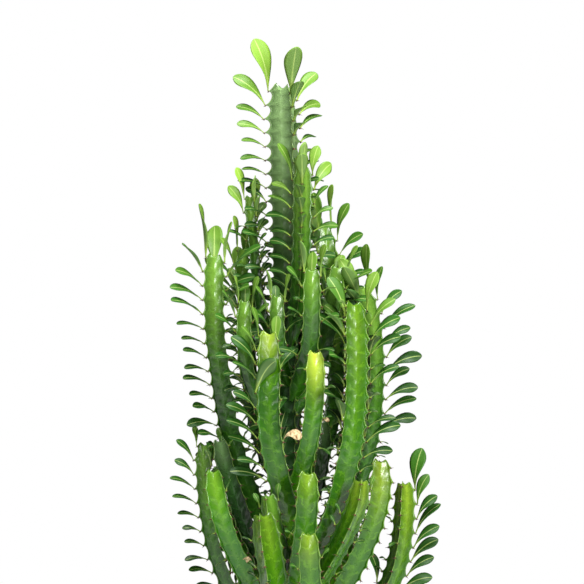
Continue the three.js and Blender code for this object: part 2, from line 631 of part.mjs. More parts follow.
// A short three-sided spine, raised from the triangle that has the edge from one point to another.
// Both spines of a pair stand just below their tooth's point, one on either side of the ridge.
function raiseSpine(skin, from, to, tooth, more) {
  const found = skin.triangles.findIndex((corners) => corners.some(
    (corner, c) => corner === from && corners[(c + 1) % 3] === to));
  const outer = skin.triangles[found];
  const [a, b, c] = outer.map((index) => skin.points[index]);
  const middle = a.clone().add(b).add(c).divideScalar(3);
  const normal = b.clone().sub(a).cross(c.clone().sub(a)).normalize();
  const point = skin.points[tooth.point];
  const foot = point.clone().lerp(middle, SPINE_INSET / point.distanceTo(middle));
  const spread = (a.distanceTo(middle) + b.distanceTo(middle) + c.distanceTo(middle)) / 3;
  const inner = [a, b, c].map((corner) => addPoint(
    skin, foot.clone().addScaledVector(corner.clone().sub(middle), (SPINE_WIDTH + 2 * more) / (2 * spread))));
  const heading = normal.add(tooth.outward).normalize();
  const sharp = addPoint(skin, foot.clone().addScaledVector(heading, SPINE_LENGTH + 2 * more));
  skin.triangles.splice(found, 1);
  for (let n = 0; n < 3; n += 1) {
    const m = (n + 1) % 3;
    skin.triangles.push(
      [outer[n], outer[m], inner[m]],
      [outer[n], inner[m], inner[n]],
      [inner[n], inner[m], sharp],
    );
  }
}

// ---- the whole plant ----

// The stems' middle lines come first, because every leaf has to know where the other stems are
const plant = [MAIN_STEM, ...BRANCHES].map((stem) => ({ stem, line: middleLine(stem) }));

function growLeaves() {
  const leaves = [];
  for (const { stem, line } of plant) {
    const draw = seededDraws(stem.seed);
    for (let rib = 0; rib < RIBS; rib += 1) {
      toothPlaces(stem, stemLength(line), rib).forEach((s, nth) => {
        const leaf = leafAt(stem, line, s, rib, nth, draw, leaves);
        if (leaf) {
          leaves.push({ stem, rib, s, leaf });
        }
      });
    }
  }
  return leaves;
}

const leaves = growLeaves();

// One stem with its leaves and spines as one body, and the room that it takes from its neighbours
function leafyStem({ stem, line }) {
  const own = leaves.filter((entry) => entry.stem === stem);
  return {
    solid: solidFromSkin(stemSkin(stem, line, own)),
    room: wasm.Manifold.union([
      solidFromSkin(stemSkin(stem, line, own, STEM_ROOM)),
      ...own.map(({ leaf }) => leafRoom(leaf, LEAF_ROOM)),
    ]),
  };
}

// What is left of a body once loose scraps are dropped
function largestPiece(solid) {
  const pieces = solid.decompose();
  return pieces.reduce((best, piece) => (piece.volume() > best.volume() ? piece : best), pieces[0]);
}

// Branches are built in order, and each gives way to the stems before it, so its root sits against
// the main stem with a hair's breadth between them
function growPlant() {
  const built = [];
  for (const entry of plant) {
    const { solid, room } = leafyStem(entry);
    let body = solid;
    for (const neighbour of built) {
      if (touches(body, neighbour.room)) {
        body = body.subtract(neighbour.room);
      }
    }
    built.push({ stem: entry.stem, body: largestPiece(smoothed(body)), room });
  }
  return built;
}

// Slivers left where a body gave way are drawn into what is round them
function smoothed(body) {
  return body.asOriginal().simplify(SMALLEST_DETAIL).asOriginal().simplify(SMALLEST_DETAIL);
}

function touches(a, b) {
  const one = a.boundingBox();
  const two = b.boundingBox();
  return one.min.every((low, i) => low < two.max[i] && two.min[i] < one.max[i]);
}

// ---- pot and soil ----

function solidFromGeometry(geometry) {
  const bare = geometry.clone();
  bare.deleteAttribute("normal");
  bare.deleteAttribute("uv");
  const merged = mergeVertices(bare, 1e-3);
  return new wasm.Manifold(new wasm.Mesh({
    numProp: 3,
    vertProperties: new Float32Array(merged.attributes.position.array),
    triVerts: new Uint32Array(merged.index.array),
  }));
}

function potRadiusAt(height) {
  return THREE.MathUtils.lerp(POT_BASE_RADIUS, POT_TOP_RADIUS, height / POT_HEIGHT);
}

// LatheGeometry turns about its own Y, so the profile is [radius, height] and is stood up after
function latheAbout(profile) {
  const geometry = new THREE.LatheGeometry(profile.map(([r, h]) => new THREE.Vector2(r, h)), POT_SIDES);
  return geometry.rotateX(Math.PI / 2);
}

function potSolid() {
  const rimFoot = POT_HEIGHT - RIM_HEIGHT;
  return solidFromGeometry(latheAbout([
    [0, 0],
    [POT_BASE_RADIUS - 3, 0],
    [POT_BASE_RADIUS, 3],
    [potRadiusAt(rimFoot - 3), rimFoot - 3],
    [potRadiusAt(rimFoot) + RIM_PROUD, rimFoot + 1],
    [POT_TOP_RADIUS + RIM_PROUD, POT_HEIGHT - 3],
    [POT_TOP_RADIUS + RIM_PROUD - 3, POT_HEIGHT],
    [POT_TOP_RADIUS - POT_WALL + 3, POT_HEIGHT],
    [POT_TOP_RADIUS - POT_WALL, POT_HEIGHT - 3],
    [potRadiusAt(POT_FLOOR) - POT_WALL, POT_FLOOR],
    [0, POT_FLOOR],
  ]));
}

function soilSolid() {
  const low = POT_FLOOR + GAP;
  const inside = (height) => potRadiusAt(height) - POT_WALL - GAP;
  const soil = solidFromGeometry(latheAbout([
    [0, low],
    [inside(low) - GAP, low],
    [inside(SOIL_TOP - SOIL_MOUND), SOIL_TOP - SOIL_MOUND],
    [0.6 * POT_TOP_RADIUS, SOIL_TOP - 1],
    [0, SOIL_TOP],
  ]));
  return soil.subtract(solidFromSkin(stemSkin(plant[0].stem, plant[0].line, [], SOIL_ROOM)));
}

// ---- the scene ----

function skin(green) {
  return new THREE.MeshStandardMaterial({ color: GREEN[green], roughness: 0.42, metalness: 0 });
}

function soilCrumb() {
  return new THREE.MeshStandardMaterial({ color: SOIL_COLOUR, roughness: 0.95, metalness: 0 });
}

function terracotta() {
  return new THREE.MeshStandardMaterial({ color: POT_COLOUR, roughness: 0.85, metalness: 0 });
}

function meshFrom(name, solid, material) {
  const { vertProperties, triVerts } = solid.getMesh();
  const geometry = new THREE.BufferGeometry();
  geometry.setAttribute("position", new THREE.BufferAttribute(Float32Array.from(vertProperties), 3));
  geometry.setIndex(new THREE.BufferAttribute(Uint32Array.from(triVerts), 1));
  geometry.computeVertexNormals();
  const mesh = new THREE.Mesh(geometry, material);
  mesh.name = name;
  return mesh;
}

function pottedEuphorbia() {
  const part = new THREE.Group();
  const grown = growPlant();
  part.add(meshFrom("pot", potSolid(), terracotta()));
  part.add(meshFrom("soil", soilSolid(), soilCrumb()));
  for (const { stem, body } of grown) {
    part.add(meshFrom(stem.name, body, skin(stem.green)));
  }
  return part;
}

export default pottedEuphorbia();
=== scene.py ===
# A potted euphorbia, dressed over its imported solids: pot, soil, three-ribbed stems with their leaves
# and spines, then the floor, lights and camera. Lengths are millimetres until a mesh is made.

import math

import bpy
import numpy as np
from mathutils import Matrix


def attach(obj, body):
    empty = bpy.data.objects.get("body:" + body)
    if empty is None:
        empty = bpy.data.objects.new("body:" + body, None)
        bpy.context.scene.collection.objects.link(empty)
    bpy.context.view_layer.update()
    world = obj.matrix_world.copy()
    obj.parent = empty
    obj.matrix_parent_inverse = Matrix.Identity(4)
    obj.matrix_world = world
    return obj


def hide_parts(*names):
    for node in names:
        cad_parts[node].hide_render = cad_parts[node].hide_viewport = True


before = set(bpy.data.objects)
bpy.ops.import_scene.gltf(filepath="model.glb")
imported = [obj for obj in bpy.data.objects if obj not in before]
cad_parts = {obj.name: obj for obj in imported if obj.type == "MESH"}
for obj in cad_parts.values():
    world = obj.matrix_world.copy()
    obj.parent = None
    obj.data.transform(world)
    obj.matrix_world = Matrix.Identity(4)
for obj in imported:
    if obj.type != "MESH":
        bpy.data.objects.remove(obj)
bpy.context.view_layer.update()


# ---- pot ----
# An unglazed terracotta flower pot, thrown round with a thick collar, then fired. It stands below
# the part of the plant that the photograph shows, so it is finished plainly.

POT_HEIGHT = 200
POT_BASE_RADIUS = 86
POT_TOP_RADIUS = 118
POT_WALL = 8
POT_FLOOR = 12
RIM_HEIGHT = 34
RIM_PROUD = 6
RIM_SLOPE = 1  # that the rim's underside falls outwards
POT_ROUNDING = 3
POT_SIDES = 96
HUB = 0.5  # radius at the middle of the round floors


def linear(hex_colour):
    """An sRGB hex colour as the linear colour that a shader takes."""
    shares = [((hex_colour >> shift) & 255) / 255 for shift in (16, 8, 0)]
    return [c / 12.92 if c <= 0.04045 else ((c + 0.055) / 1.055) ** 2.4 for c in shares] + [1]


def add_node(tree, kind, inputs=None, **settings):
    """Adds a shader node with its settings. An input is given a value, a socket to link, or a node,
    which stands for its first output in use."""
    made = tree.nodes.new("ShaderNode" + kind)
    for name, value in settings.items():
        setattr(made, name, value)
    for name, value in (inputs or {}).items():
        if isinstance(value, bpy.types.Node):
            value = next(socket for socket in value.outputs if socket.enabled)
        if isinstance(value, bpy.types.NodeSocket):
            tree.links.new(value, made.inputs[name])
        else:
            made.inputs[name].default_value = value
    return made


def new_material(name):
    """A node material that is still empty, and its tree."""
    material = bpy.data.materials.new(name)
    material.use_nodes = True
    material.node_tree.nodes.clear()
    return material, material.node_tree


def make_piece(name, points, faces, material, uvs=None, values=None):
    """A smooth mesh object from points in millimetres, with corner uvs and named point values."""
    mesh = bpy.data.meshes.new(name)
    mesh.from_pydata((np.asarray(points, float) / 1000).tolist(), [], faces)
    mesh.shade_smooth()
    if uvs is not None:
        layer = mesh.uv_layers.new(name="surface")
        layer.data.foreach_set("uv", np.asarray(uvs, np.float32).ravel())
    for label, numbers in (values or {}).items():
        kept = mesh.attributes.new(label, "FLOAT", "POINT")
        kept.data.foreach_set("value", np.asarray(numbers, np.float32))
    mesh.materials.append(material)
    piece = bpy.data.objects.new(name, mesh)
    bpy.context.scene.collection.objects.link(piece)
    return piece


def lathe(profile, sides):
    """Points and faces of a profile of [radius, height] turned about the upright axis."""
    angles = np.arange(sides) * 2 * np.pi / sides
    points = [[r * np.cos(a), r * np.sin(a), h] for r, h in profile for a in angles]
    faces = []
    for row in range(len(profile) - 1):
        for c in range(sides):
            d = (c + 1) % sides
            low = row * sides
            faces.append([low + c, low + d, low + sides + d, low + sides + c])
    return points, faces


def pot_radius(height):
    return POT_BASE_RADIUS + (POT_TOP_RADIUS - POT_BASE_RADIUS) * height / POT_HEIGHT


def rounded(corners, radius, steps=4):
    """A profile with each inner corner of a polyline turned into a short arc."""
    out = [corners[0]]
    for before, corner, after in zip(corners, corners[1:], corners[2:]):
        before, corner, after = (np.array(p, float) for p in (before, corner, after))
        back = (before - corner) / np.linalg.norm(before - corner)
        on = (after - corner) / np.linalg.norm(after - corner)
        cut = min(radius, 0.45 * np.linalg.norm(before - corner), 0.45 * np.linalg.norm(after - corner))
        for t in np.linspace(0, 1, steps):
            out.append(corner + back * cut * (1 - t) ** 2 + on * cut * t ** 2)
    return out + [corners[-1]]


# Fired clay is matt and a little uneven: iron-red, with paler lime bloom and fine sand in it.
terracotta, tree = new_material("terracotta")
place = add_node(tree, "TexCoord").outputs["Object"]
bloom = add_node(tree, "TexNoise", {"Vector": place, "Scale": 14, "Detail": 5, "Roughness": 0.6})
clay = add_node(tree, "ValToRGB", {"Fac": bloom})
clay.color_ramp.elements[0].position = 0.32
clay.color_ramp.elements[0].color = linear(0x9C5233)
clay.color_ramp.elements[1].position = 0.74
clay.color_ramp.elements[1].color = linear(0xC98A66)
# sand grains of about 0.8 mm
sand = add_node(tree, "TexNoise", {"Vector": place, "Scale": 1200, "Detail": 2})
grit = add_node(tree, "Bump", {"Height": sand, "Strength": 0.25, "Distance": 0.0004})
shader = add_node(tree, "BsdfPrincipled", {
    "Base Color": clay, "Roughness": 0.86, "IOR": 1.5, "Normal": grit})
add_node(tree, "OutputMaterial", {"Surface": shader})

rim_foot = POT_HEIGHT - RIM_HEIGHT
pot_profile = rounded([
    [HUB, 0],
    [POT_BASE_RADIUS, 0],
    [pot_radius(rim_foot), rim_foot],
    [pot_radius(rim_foot) + RIM_PROUD, rim_foot + RIM_SLOPE],
    [POT_TOP_RADIUS + RIM_PROUD, POT_HEIGHT],
    [POT_TOP_RADIUS - POT_WALL, POT_HEIGHT],
    [pot_radius(POT_FLOOR) - POT_WALL, POT_FLOOR],
    [HUB, POT_FLOOR],
], POT_ROUNDING)
pot = make_piece("terracotta_pot", *lathe(pot_profile, POT_SIDES), terracotta)
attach(pot, "root")
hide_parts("pot")


# ---- soil ----
# Loose peaty potting soil, filled to just under the rim and slightly heaped, with crumbs and a few
# bits of bark lying on it.

SOIL_TOP = POT_HEIGHT - 15
SOIL_MOUND = 5
SOIL_ROWS = 26
SOIL_SIDES = 110
SOIL_UNEVEN = 1.1
CRUMBS = 420
CRUMB_ROOM = 5  # between the outermost crumbs and the pot

# Peat is dark, rough and quite dry, with lighter fibres and grains of 2 to 4 mm.
peat, tree = new_material("potting_peat")
place = add_node(tree, "TexCoord").outputs["Object"]
crumbs = add_node(tree, "TexNoise", {"Vector": place, "Scale": 300, "Detail": 6, "Roughness": 0.7})
browns = add_node(tree, "ValToRGB", {"Fac": crumbs})
browns.color_ramp.elements[0].position = 0.36
browns.color_ramp.elements[0].color = linear(0x1E1510)
browns.color_ramp.elements[1].position = 0.7
browns.color_ramp.elements[1].color = linear(0x6B4C33)
lumps = add_node(tree, "Bump", {"Height": crumbs, "Strength": 0.8, "Distance": 0.002})
shader = add_node(tree, "BsdfPrincipled", {
    "Base Color": browns, "Roughness": 0.95, "Normal": lumps})
add_node(tree, "OutputMaterial", {"Surface": shader})

chance = np.random.RandomState(5)
inside = pot_radius(SOIL_TOP) - POT_WALL


def soil_height(share):
    """Height of the mound at a share of the way from its middle to the pot."""
    return SOIL_TOP - 1 - SOIL_MOUND * share ** 2


points, faces = lathe([[inside * t, soil_height(t)] for t in np.linspace(0.01, 1, SOIL_ROWS)], SOIL_SIDES)
points = np.array(points)
points[:, 2] += chance.uniform(-SOIL_UNEVEN, SOIL_UNEVEN, len(points))
for _ in range(CRUMBS):
    angle = chance.uniform(0, 2 * np.pi)
    far = (inside - CRUMB_ROOM) * math.sqrt(chance.uniform(0.06, 1))
    centre = np.array([far * math.cos(angle), far * math.sin(angle), soil_height(far / inside)])
    size = chance.uniform(0.9, 2.6) * np.array([1, chance.uniform(0.6, 1), chance.uniform(0.45, 0.8)])
    first = len(points)
    ring = [[math.cos(a), math.sin(a), 0] for a in np.arange(6) * math.pi / 3]
    crumb = np.array(ring + [[0, 0, 1], [0, 0, -1]]) * size * chance.uniform(0.75, 1.2, (8, 1))
    points = np.vstack([points, crumb + centre])
    for c in range(6):
        d = (c + 1) % 6
        faces += [[first + c, first + d, first + 6], [first + d, first + c, first + 7]]
soil = make_piece("potting_soil", points, faces, peat)
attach(soil, "root")
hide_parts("soil")


# ---- stems ----
# Each stem is one fleshy shoot with three winged ribs and a hollow face between each two. The ribs
# are scalloped into teeth. It grew from a tooth of the main stem, which itself stands in the soil.
# route runs from root to tip; radius reaches a tooth; turn is where the first rib faces, in degrees;
# dip is how far the ribs fall back between two teeth, as a share of the radius; fresh is how strongly
# the tip is still yellow-green, and how far down that reaches. leafy is the share of the teeth with a
# leaf, on each rib; reach is how far down from the tip they go; leaf is an old leaf's length; lush is
# how much longer the young ones are; rise is how steeply the old ones stand, in degrees; crossing is
# one leaf that has swung round across the front of its stem.

# The main stem's long, strong pale top (its fresh) is partly young growth and partly painted light, standing
# for the glare on the top of the plant.
MAIN_STEM = dict(
    name="main_stem", seed=11, radius=29, turn=170, dip=0.28, green="deep", trunk=True, fresh=(0.85, 190),
    route=[[0, 0, 128], [0, 0, 190], [1, 0, 420], [2, 0, 700], [-1, 0, 880], [-5, 0, 988]],
    leafy=[1, 0.9, 0.9], reach=340, leaf=36, lush=0.85, rise=12)


def branch(name, dip=0.2, green="mid", lush=0, **measures):
    """A row of the table, with what most branches have in common."""
    return dict(name=name + "_branch", dip=dip, green=green, lush=lush, **measures)


BRANCHES = [
    # in front, from the top down
    branch("upper_front", seed=21, radius=17, turn=268, dip=0.24, fresh=(0.5, 90),
        route=[[5, -16, 647], [14, -42, 705], [17, -48, 763], [18, -50, 820], [19, -50, 877]],
        leafy=[1, 1, 1], reach=225, leaf=32, lush=0.4, rise=16),
    branch("centre_mid", seed=22, radius=15, turn=210, fresh=(0.5, 50),
        route=[[6, -16, 576], [18, -50, 613], [28, -74, 655], [30, -86, 699], [30, -88, 746]],
        leafy=[0.5, 0.6, 0.8], reach=130, leaf=26, lush=0.4, rise=20),
    branch("centre_short", seed=23, radius=13, turn=215, fresh=(0.4, 40),
        route=[[1, -16, 595], [-10, -48, 635], [-14, -60, 674], [-14, -60, 713]],
        leafy=[0.8, 0.8, 0.8], reach=90, leaf=26, lush=0.4, rise=30),
    branch("left_front", seed=24, radius=20, turn=188, dip=0.15, green="bright", fresh=(0.55, 34),
        route=[[4, -16, 385], [4, -60, 432], [-7, -84, 479], [-17, -94, 524], [-21, -98, 568],
              [-20, -100, 618], [-22, -100, 668]],
        leafy=[1, 0, 0.5], reach=230, leaf=44, rise=36,
        crossing=dict(rib=0, tooth=4, turn=122, rise=48, roll=-75, leaf=60)),
    branch("mid_front", seed=25, radius=15.5, turn=212, dip=0.16, green="bright", fresh=(0.95, 40),
        route=[[4, -16, 421], [10, -50, 457], [19, -76, 497], [29, -92, 542], [34, -98, 593],
              [34, -100, 643]],
        leafy=[0.2, 0.1, 0.5], reach=150, leaf=24, rise=30),
    branch("right_front", seed=26, radius=22, turn=238, dip=0.22, green="bright", fresh=(0.12, 110),
        route=[[6, -16, 330], [26, -40, 370], [46, -62, 413], [60, -74, 453], [69, -80, 491],
              [77, -82, 529], [82, -80, 586], [83, -80, 649], [81, -78, 705]],
        leafy=[0.3, 0.9, 0.8], reach=240, leaf=46, lush=0.1, rise=26),
    branch("front_short", seed=27, radius=18, turn=212, dip=0.15, green="bright", fresh=(0.25, 30),
        route=[[3, -16, 266], [8, -62, 318], [15, -100, 374], [21, -120, 420], [24, -128, 458],
              [25, -128, 495]],
        leafy=[0.1, 0.1, 0.4], reach=120, leaf=18, rise=30),
    branch("front_low", seed=28, radius=17, turn=214, dip=0.15, green="bright", fresh=(0.3, 30),
        route=[[6, -18, 236], [22, -90, 290], [28, -140, 340], [26, -162, 389], [25, -165, 424]],
        leafy=[0.1, 0.1, 0.3], reach=90, leaf=16, rise=30),
    branch("front_left_low", seed=29, radius=23, turn=258, dip=0.15, green="bright",
        fresh=(0.15, 60),
        route=[[2, -18, 214], [-14, -66, 258], [-16, -114, 310], [-20, -142, 362], [-28, -150, 412],
              [-32, -152, 447]],
        leafy=[0, 0.1, 0.3], reach=100, leaf=18, rise=20),
    branch("front_left_back", seed=30, radius=16, turn=260, dip=0.16, fresh=(0.4, 50),
        route=[[0, -16, 310], [-4, -62, 350], [-11, -96, 392], [-21, -108, 431], [-26, -110, 465]],
        leafy=[0.1, 0.2, 0.4], reach=100, leaf=20, rise=25),
    # on the right
    branch("upper_right_back", seed=31, radius=17, turn=350, dip=0.22, fresh=(0.5, 80),
        route=[[14, 13, 594], [37, 20, 646], [50, 18, 705], [51, 16, 755], [44, 12, 804]],
        leafy=[1, 0.9, 0.9], reach=170, leaf=36, lush=0.55, rise=24),
    branch("right_mid", seed=32, radius=15, turn=212, fresh=(0.5, 60),
        route=[[9, -14, 556], [28, -24, 600], [48, -30, 654], [58, -32, 705], [64, -30, 750]],
        leafy=[0.8, 1, 0.8], reach=130, leaf=34, lush=0.2, rise=14),
    branch("right_back", seed=33, radius=17, turn=8, dip=0.24, fresh=(0.5, 120),
        route=[[15, 14, 307], [34, 14, 346], [65, 6, 405], [91, 0, 471], [106, -5, 536], [111, -10, 601],
              [108, -18, 666], [93, -25, 724]],
        leafy=[1, 0.8, 0.8], reach=250, leaf=46, lush=0.1, rise=28),
    branch("mid_right_back", seed=34, radius=13, turn=230, green="deep", fresh=(0.3, 40),
        route=[[8, -16, 393], [21, -22, 428], [36, -36, 468], [44, -42, 513], [44, -40, 552]],
        leafy=[0.9, 0.7, 0.9], reach=130, leaf=26, rise=26),
    branch("right_low_inner", seed=35, radius=18, turn=270, dip=0.18, green="bright",
        fresh=(0.3, 40),
        route=[[6, -16, 289], [32, -62, 337], [53, -88, 376], [71, -104, 412], [86, -112, 450],
              [92, -112, 484]],
        leafy=[0, 0.1, 0.2], reach=100, leaf=16, rise=30),
    branch("right_low", seed=36, radius=18, turn=216, dip=0.22, green="bright", fresh=(0.4, 60),
        route=[[15, 12, 262], [42, -8, 298], [72, -40, 344], [94, -54, 387], [109, -60, 426],
              [117, -62, 464], [117, -62, 505]],
        leafy=[0.1, 0.1, 0.1], reach=60, leaf=16, rise=40),
    branch("right_outer", seed=37, radius=19, turn=256, dip=0.22, green="bright", fresh=(0.3, 80),
        route=[[15, 14, 214], [36, 12, 232], [73, 0, 256], [111, -14, 302], [134, -22, 348],
              [144, -26, 390], [148, -26, 428], [149, -25, 473]],
        leafy=[0, 1, 0.4], reach=210, leaf=42, lush=0.2, rise=42),
    # on the left
    branch("left_thin", seed=41, radius=11, turn=180, dip=0.24, fresh=(0.5, 70),
        route=[[-18, 7, 651], [-33, 14, 694], [-40, 14, 744], [-45, 12, 796], [-49, 10, 842]],
        leafy=[0.8, 0.7, 0.4], reach=150, leaf=26, lush=0.4, rise=30),
    branch("left_inner", seed=42, radius=12, turn=200, dip=0.22, fresh=(0.5, 60),
        route=[[-18, 7, 620], [-40, 20, 659], [-56, 26, 698], [-60, 26, 738], [-58, 24, 774]],
        leafy=[1, 0.9, 0.8], reach=150, leaf=32, lush=0.4, rise=24),
    branch("left_centre", seed=43, radius=13, turn=210, fresh=(0.5, 60),
        route=[[-18, 2, 529], [-36, -18, 570], [-52, -36, 615], [-56, -42, 660], [-55, -42, 706]],
        leafy=[0.9, 0.8, 0.9], reach=150, leaf=30, lush=0.3, rise=26),
    branch("left_tall", seed=44, radius=18, turn=214, dip=0.24, fresh=(0.5, 120),
        route=[[-18, 5, 393], [-32, 12, 419], [-52, 16, 458], [-70, 16, 511], [-82, 10, 563],
              [-89, 0, 614], [-95, -8, 666], [-96, -10, 718], [-95, -10, 766]],
        leafy=[1, 0.8, 1], reach=320, leaf=42, lush=0.5, rise=20),
    branch("left_dark", seed=45, radius=15, turn=205, dip=0.16, green="deep", fresh=(0.3, 40),
        route=[[-18, 3, 340], [-30, -8, 367], [-50, -20, 406], [-67, -26, 452], [-80, -26, 491],
              [-88, -26, 527]],
        leafy=[0.2, 0.1, 0.4], reach=120, leaf=22, rise=30),
    branch("left_bright", seed=46, radius=16, turn=200, dip=0.15, green="young", fresh=(0.4, 60),
        route=[[-18, 2, 285], [-34, -24, 316], [-55, -46, 360], [-75, -58, 405], [-88, -62, 450],
              [-94, -60, 491]],
        leafy=[0.1, 0.1, 0.4], reach=120, leaf=18, rise=30),
    branch("left_outer", seed=47, radius=15, turn=186, dip=0.24, fresh=(0.4, 90),
        route=[[-18, 5, 248], [-42, 6, 280], [-73, 0, 329], [-93, -6, 382], [-103, -8, 434],
              [-107, -8, 479], [-107, -8, 521]],
        leafy=[1, 0.3, 0.8], reach=230, leaf=28, lush=0.6, rise=22),
    # on the far side
    branch("back_centre", seed=51, radius=17, turn=92, fresh=(0.5, 80),
        route=[[15, 15, 612], [18, 46, 655], [14, 62, 705], [15, 66, 760], [14, 64, 812]],
        leafy=[0.9, 0.7, 0.7], reach=150, leaf=34, lush=0.4, rise=20),
    branch("back_left", seed=52, radius=16, turn=130, fresh=(0.5, 80),
        route=[[-18, 7, 470], [-36, 38, 515], [-50, 62, 570], [-56, 68, 640], [-56, 68, 728]],
        leafy=[0.9, 0.5, 0.4], reach=190, leaf=34, lush=0.4, rise=22),
    branch("back_right", seed=53, radius=17, turn=60, fresh=(0.5, 80),
        route=[[15, 15, 430], [36, 40, 470], [58, 62, 530], [68, 70, 610], [68, 70, 702]],
        leafy=[0.9, 0.5, 0.5], reach=190, leaf=36, lush=0.4, rise=22),
    branch("back_low", seed=54, radius=18, turn=95, green="bright", fresh=(0.5, 60),
        route=[[14, 16, 362], [12, 58, 396], [6, 92, 440], [4, 106, 500], [4, 108, 590]],
        leafy=[0.7, 0.4, 0.3], reach=150, leaf=34, lush=0.2, rise=26),
    branch("back_low_left", seed=55, radius=17, turn=125, green="bright", fresh=(0.5, 60),
        route=[[-18, 7, 308], [-38, 46, 340], [-62, 82, 385], [-74, 98, 440], [-76, 100, 520]],
        leafy=[0.6, 0.4, 0.2], reach=130, leaf=30, lush=0.2, rise=28),
    branch("back_low_right", seed=56, radius=18, turn=50, green="bright", fresh=(0.5, 60),
        route=[[15, 16, 258], [42, 48, 296], [74, 82, 350], [88, 98, 410], [90, 100, 496]],
        leafy=[0.6, 0.3, 0.3], reach=130, leaf=32, lush=0.2, rise=30),
]

RIBS = 3
RIB_ANGLE = 2 * math.pi / RIBS
TOOTH_PITCH = 18  # along a rib, from tooth to tooth
TOOTH_LEAN = 0.56  # where it lies lowest between them: past the middle, so the teeth point up
GROOVE_RADIUS = 0.36
NECK_RADIUS = 0.42
NECK_LENGTH = 2.1
TIP_RADIUS = 0.5
TIP_LENGTH = 1.5
TIP_SUNK = 0.3  # how far the faces end below the points of the ribs, in radii
TIP_STAGGER = 0.1  # how much lower each rib ends than the one before it, in radii
TOP_TOOTH = 0.35  # from the topmost tooth to the tip, in radii
STEPS_PER_LEG = 10
RING_STEP = 2  # along the stem; three to a third of the pitch, so that a ring falls on every tooth
FLANK = [0, 0.05, 0.16, 0.36, 0.6, 0.8, 0.93]  # places from ridge to groove, which is at 1
WING = 1.5  # how much the flanks stand proud beside the ridge, which gives the rib its thickness
GROOVE_ROUND = 0.6  # the bottom of the groove is filled this much
RIPPLE = 0.55  # height of the waves that run up each face towards the teeth
ARM_RISE = 0.5  # how far the waves and the pale arms rise from groove to ridge, in pitches


def unit(v):
    return v / np.linalg.norm(v, axis=-1, keepdims=True)


def across_to(direction, ahead):
    """The part of a direction that lies across another, at length 1."""
    return unit(direction - ahead * np.sum(direction * ahead, axis=-1, keepdims=True))


def middle_line(stem):
    """Places along the stem's middle, with distance, heading and the way to its first rib at each."""
    route = np.array(stem["route"], float)
    route = np.vstack([2 * route[0] - route[1], route, 2 * route[-1] - route[-2]])
    places = []
    for leg in range(len(route) - 3):
        before, start, end, after = route[leg:leg + 4]
        out_of, into = 0.5 * (end - before), 0.5 * (after - start)
        last = leg == len(route) - 4
        for t in np.arange(STEPS_PER_LEG + last) / STEPS_PER_LEG:
            places.append(start + out_of * t + (3 * (end - start) - 2 * out_of - into) * t ** 2
                          + (2 * (start - end) + out_of + into) * t ** 3)
    places = np.array(places)
    steps = np.linalg.norm(np.diff(places, axis=0), axis=1)
    around = np.vstack([places[:1], places, places[-1:]])
    ahead = unit(around[2:] - around[:-2])
    rib = np.zeros_like(places)
    turn = math.radians(stem["turn"])
    carried = np.array([math.cos(turn), math.sin(turn), 0])
    for i in range(len(places) - 1, -1, -1):
        carried = across_to(carried, ahead[i])
        rib[i] = carried
    return dict(place=places, ahead=ahead, rib=rib, s=np.concatenate([[0], np.cumsum(steps)]))


def frame_at(line, s):
    """Places and frames at distances along the stem."""
    s = np.atleast_1d(np.asarray(s, float))
    i = np.clip(np.searchsorted(line["s"], s, side="left"), 1, len(line["s"]) - 1)
    share = ((s - line["s"][i - 1]) / (line["s"][i] - line["s"][i - 1]))[:, None]
    place, ahead, rib = (line[k][i - 1] * (1 - share) + line[k][i] * share for k in ("place", "ahead", "rib"))
    ahead = unit(ahead)
    rib = across_to(rib, ahead)
    return place, ahead, rib, np.cross(ahead, rib)


def outward(rib, side, angle):
    return rib * math.cos(angle) + side * math.sin(angle)


def girth(stem, length, s):
    """Share of the full radius that the stem has at a distance: narrow at its neck and its tip."""
    tip = TIP_RADIUS + (1 - TIP_RADIUS) * np.sqrt(np.clip((length - s) / (TIP_LENGTH * stem["radius"]), 0, 1))
    if stem.get("trunk"):
        return tip
    t = np.clip(s / (NECK_LENGTH * stem["radius"]), 0, 1)
    return np.minimum(tip, NECK_RADIUS + (1 - NECK_RADIUS) * t * t * (3 - 2 * t))


def highest_tooth(stem, length):
    return length - TOP_TOOTH * stem["radius"]


def lowest_tooth(stem):
    if stem.get("trunk"):
        return SOIL_TOP - stem["route"][0][2] + TOOTH_PITCH
    return NECK_LENGTH * stem["radius"]


def tooth_places(stem, length, rib):
    """Distances of the teeth on one rib, from the tip down. The three ribs' teeth are staggered."""
    places = []
    s = highest_tooth(stem, length) - rib * TOOTH_PITCH / RIBS
    while s > lowest_tooth(stem):
        places.append(s)
        s -= TOOTH_PITCH
    return places


def tooth_at(stem, line, s, rib):
    """The point of a tooth, and the ways ahead, away from the stem and sideways there."""
    place, ahead, first_rib, side = (v[0] for v in frame_at(line, s))
    away = outward(first_rib, side, rib * RIB_ANGLE)
    return place + away * stem["radius"] * girth(stem, line["s"][-1], s), ahead, away, np.cross(ahead, away)


def scallop(stem, length, s, rib):
    """How far the ridge has fallen back, from 0 at a tooth to 1 between two, and its tooth phase."""
    phase = (s - highest_tooth(stem, length) + rib * TOOTH_PITCH / RIBS) / TOOTH_PITCH
    t = (phase - np.floor(phase + 1e-9)).clip(0, 1) ** (math.log(0.5) / math.log(TOOTH_LEAN))
    fallen = (4 * t * (1 - t)).clip(0, 1) ** 0.6
    first = tooth_places(stem, length, rib)[-1]
    return np.where(s < first - (1 - TOOTH_LEAN) * TOOTH_PITCH, 1, fallen), phase


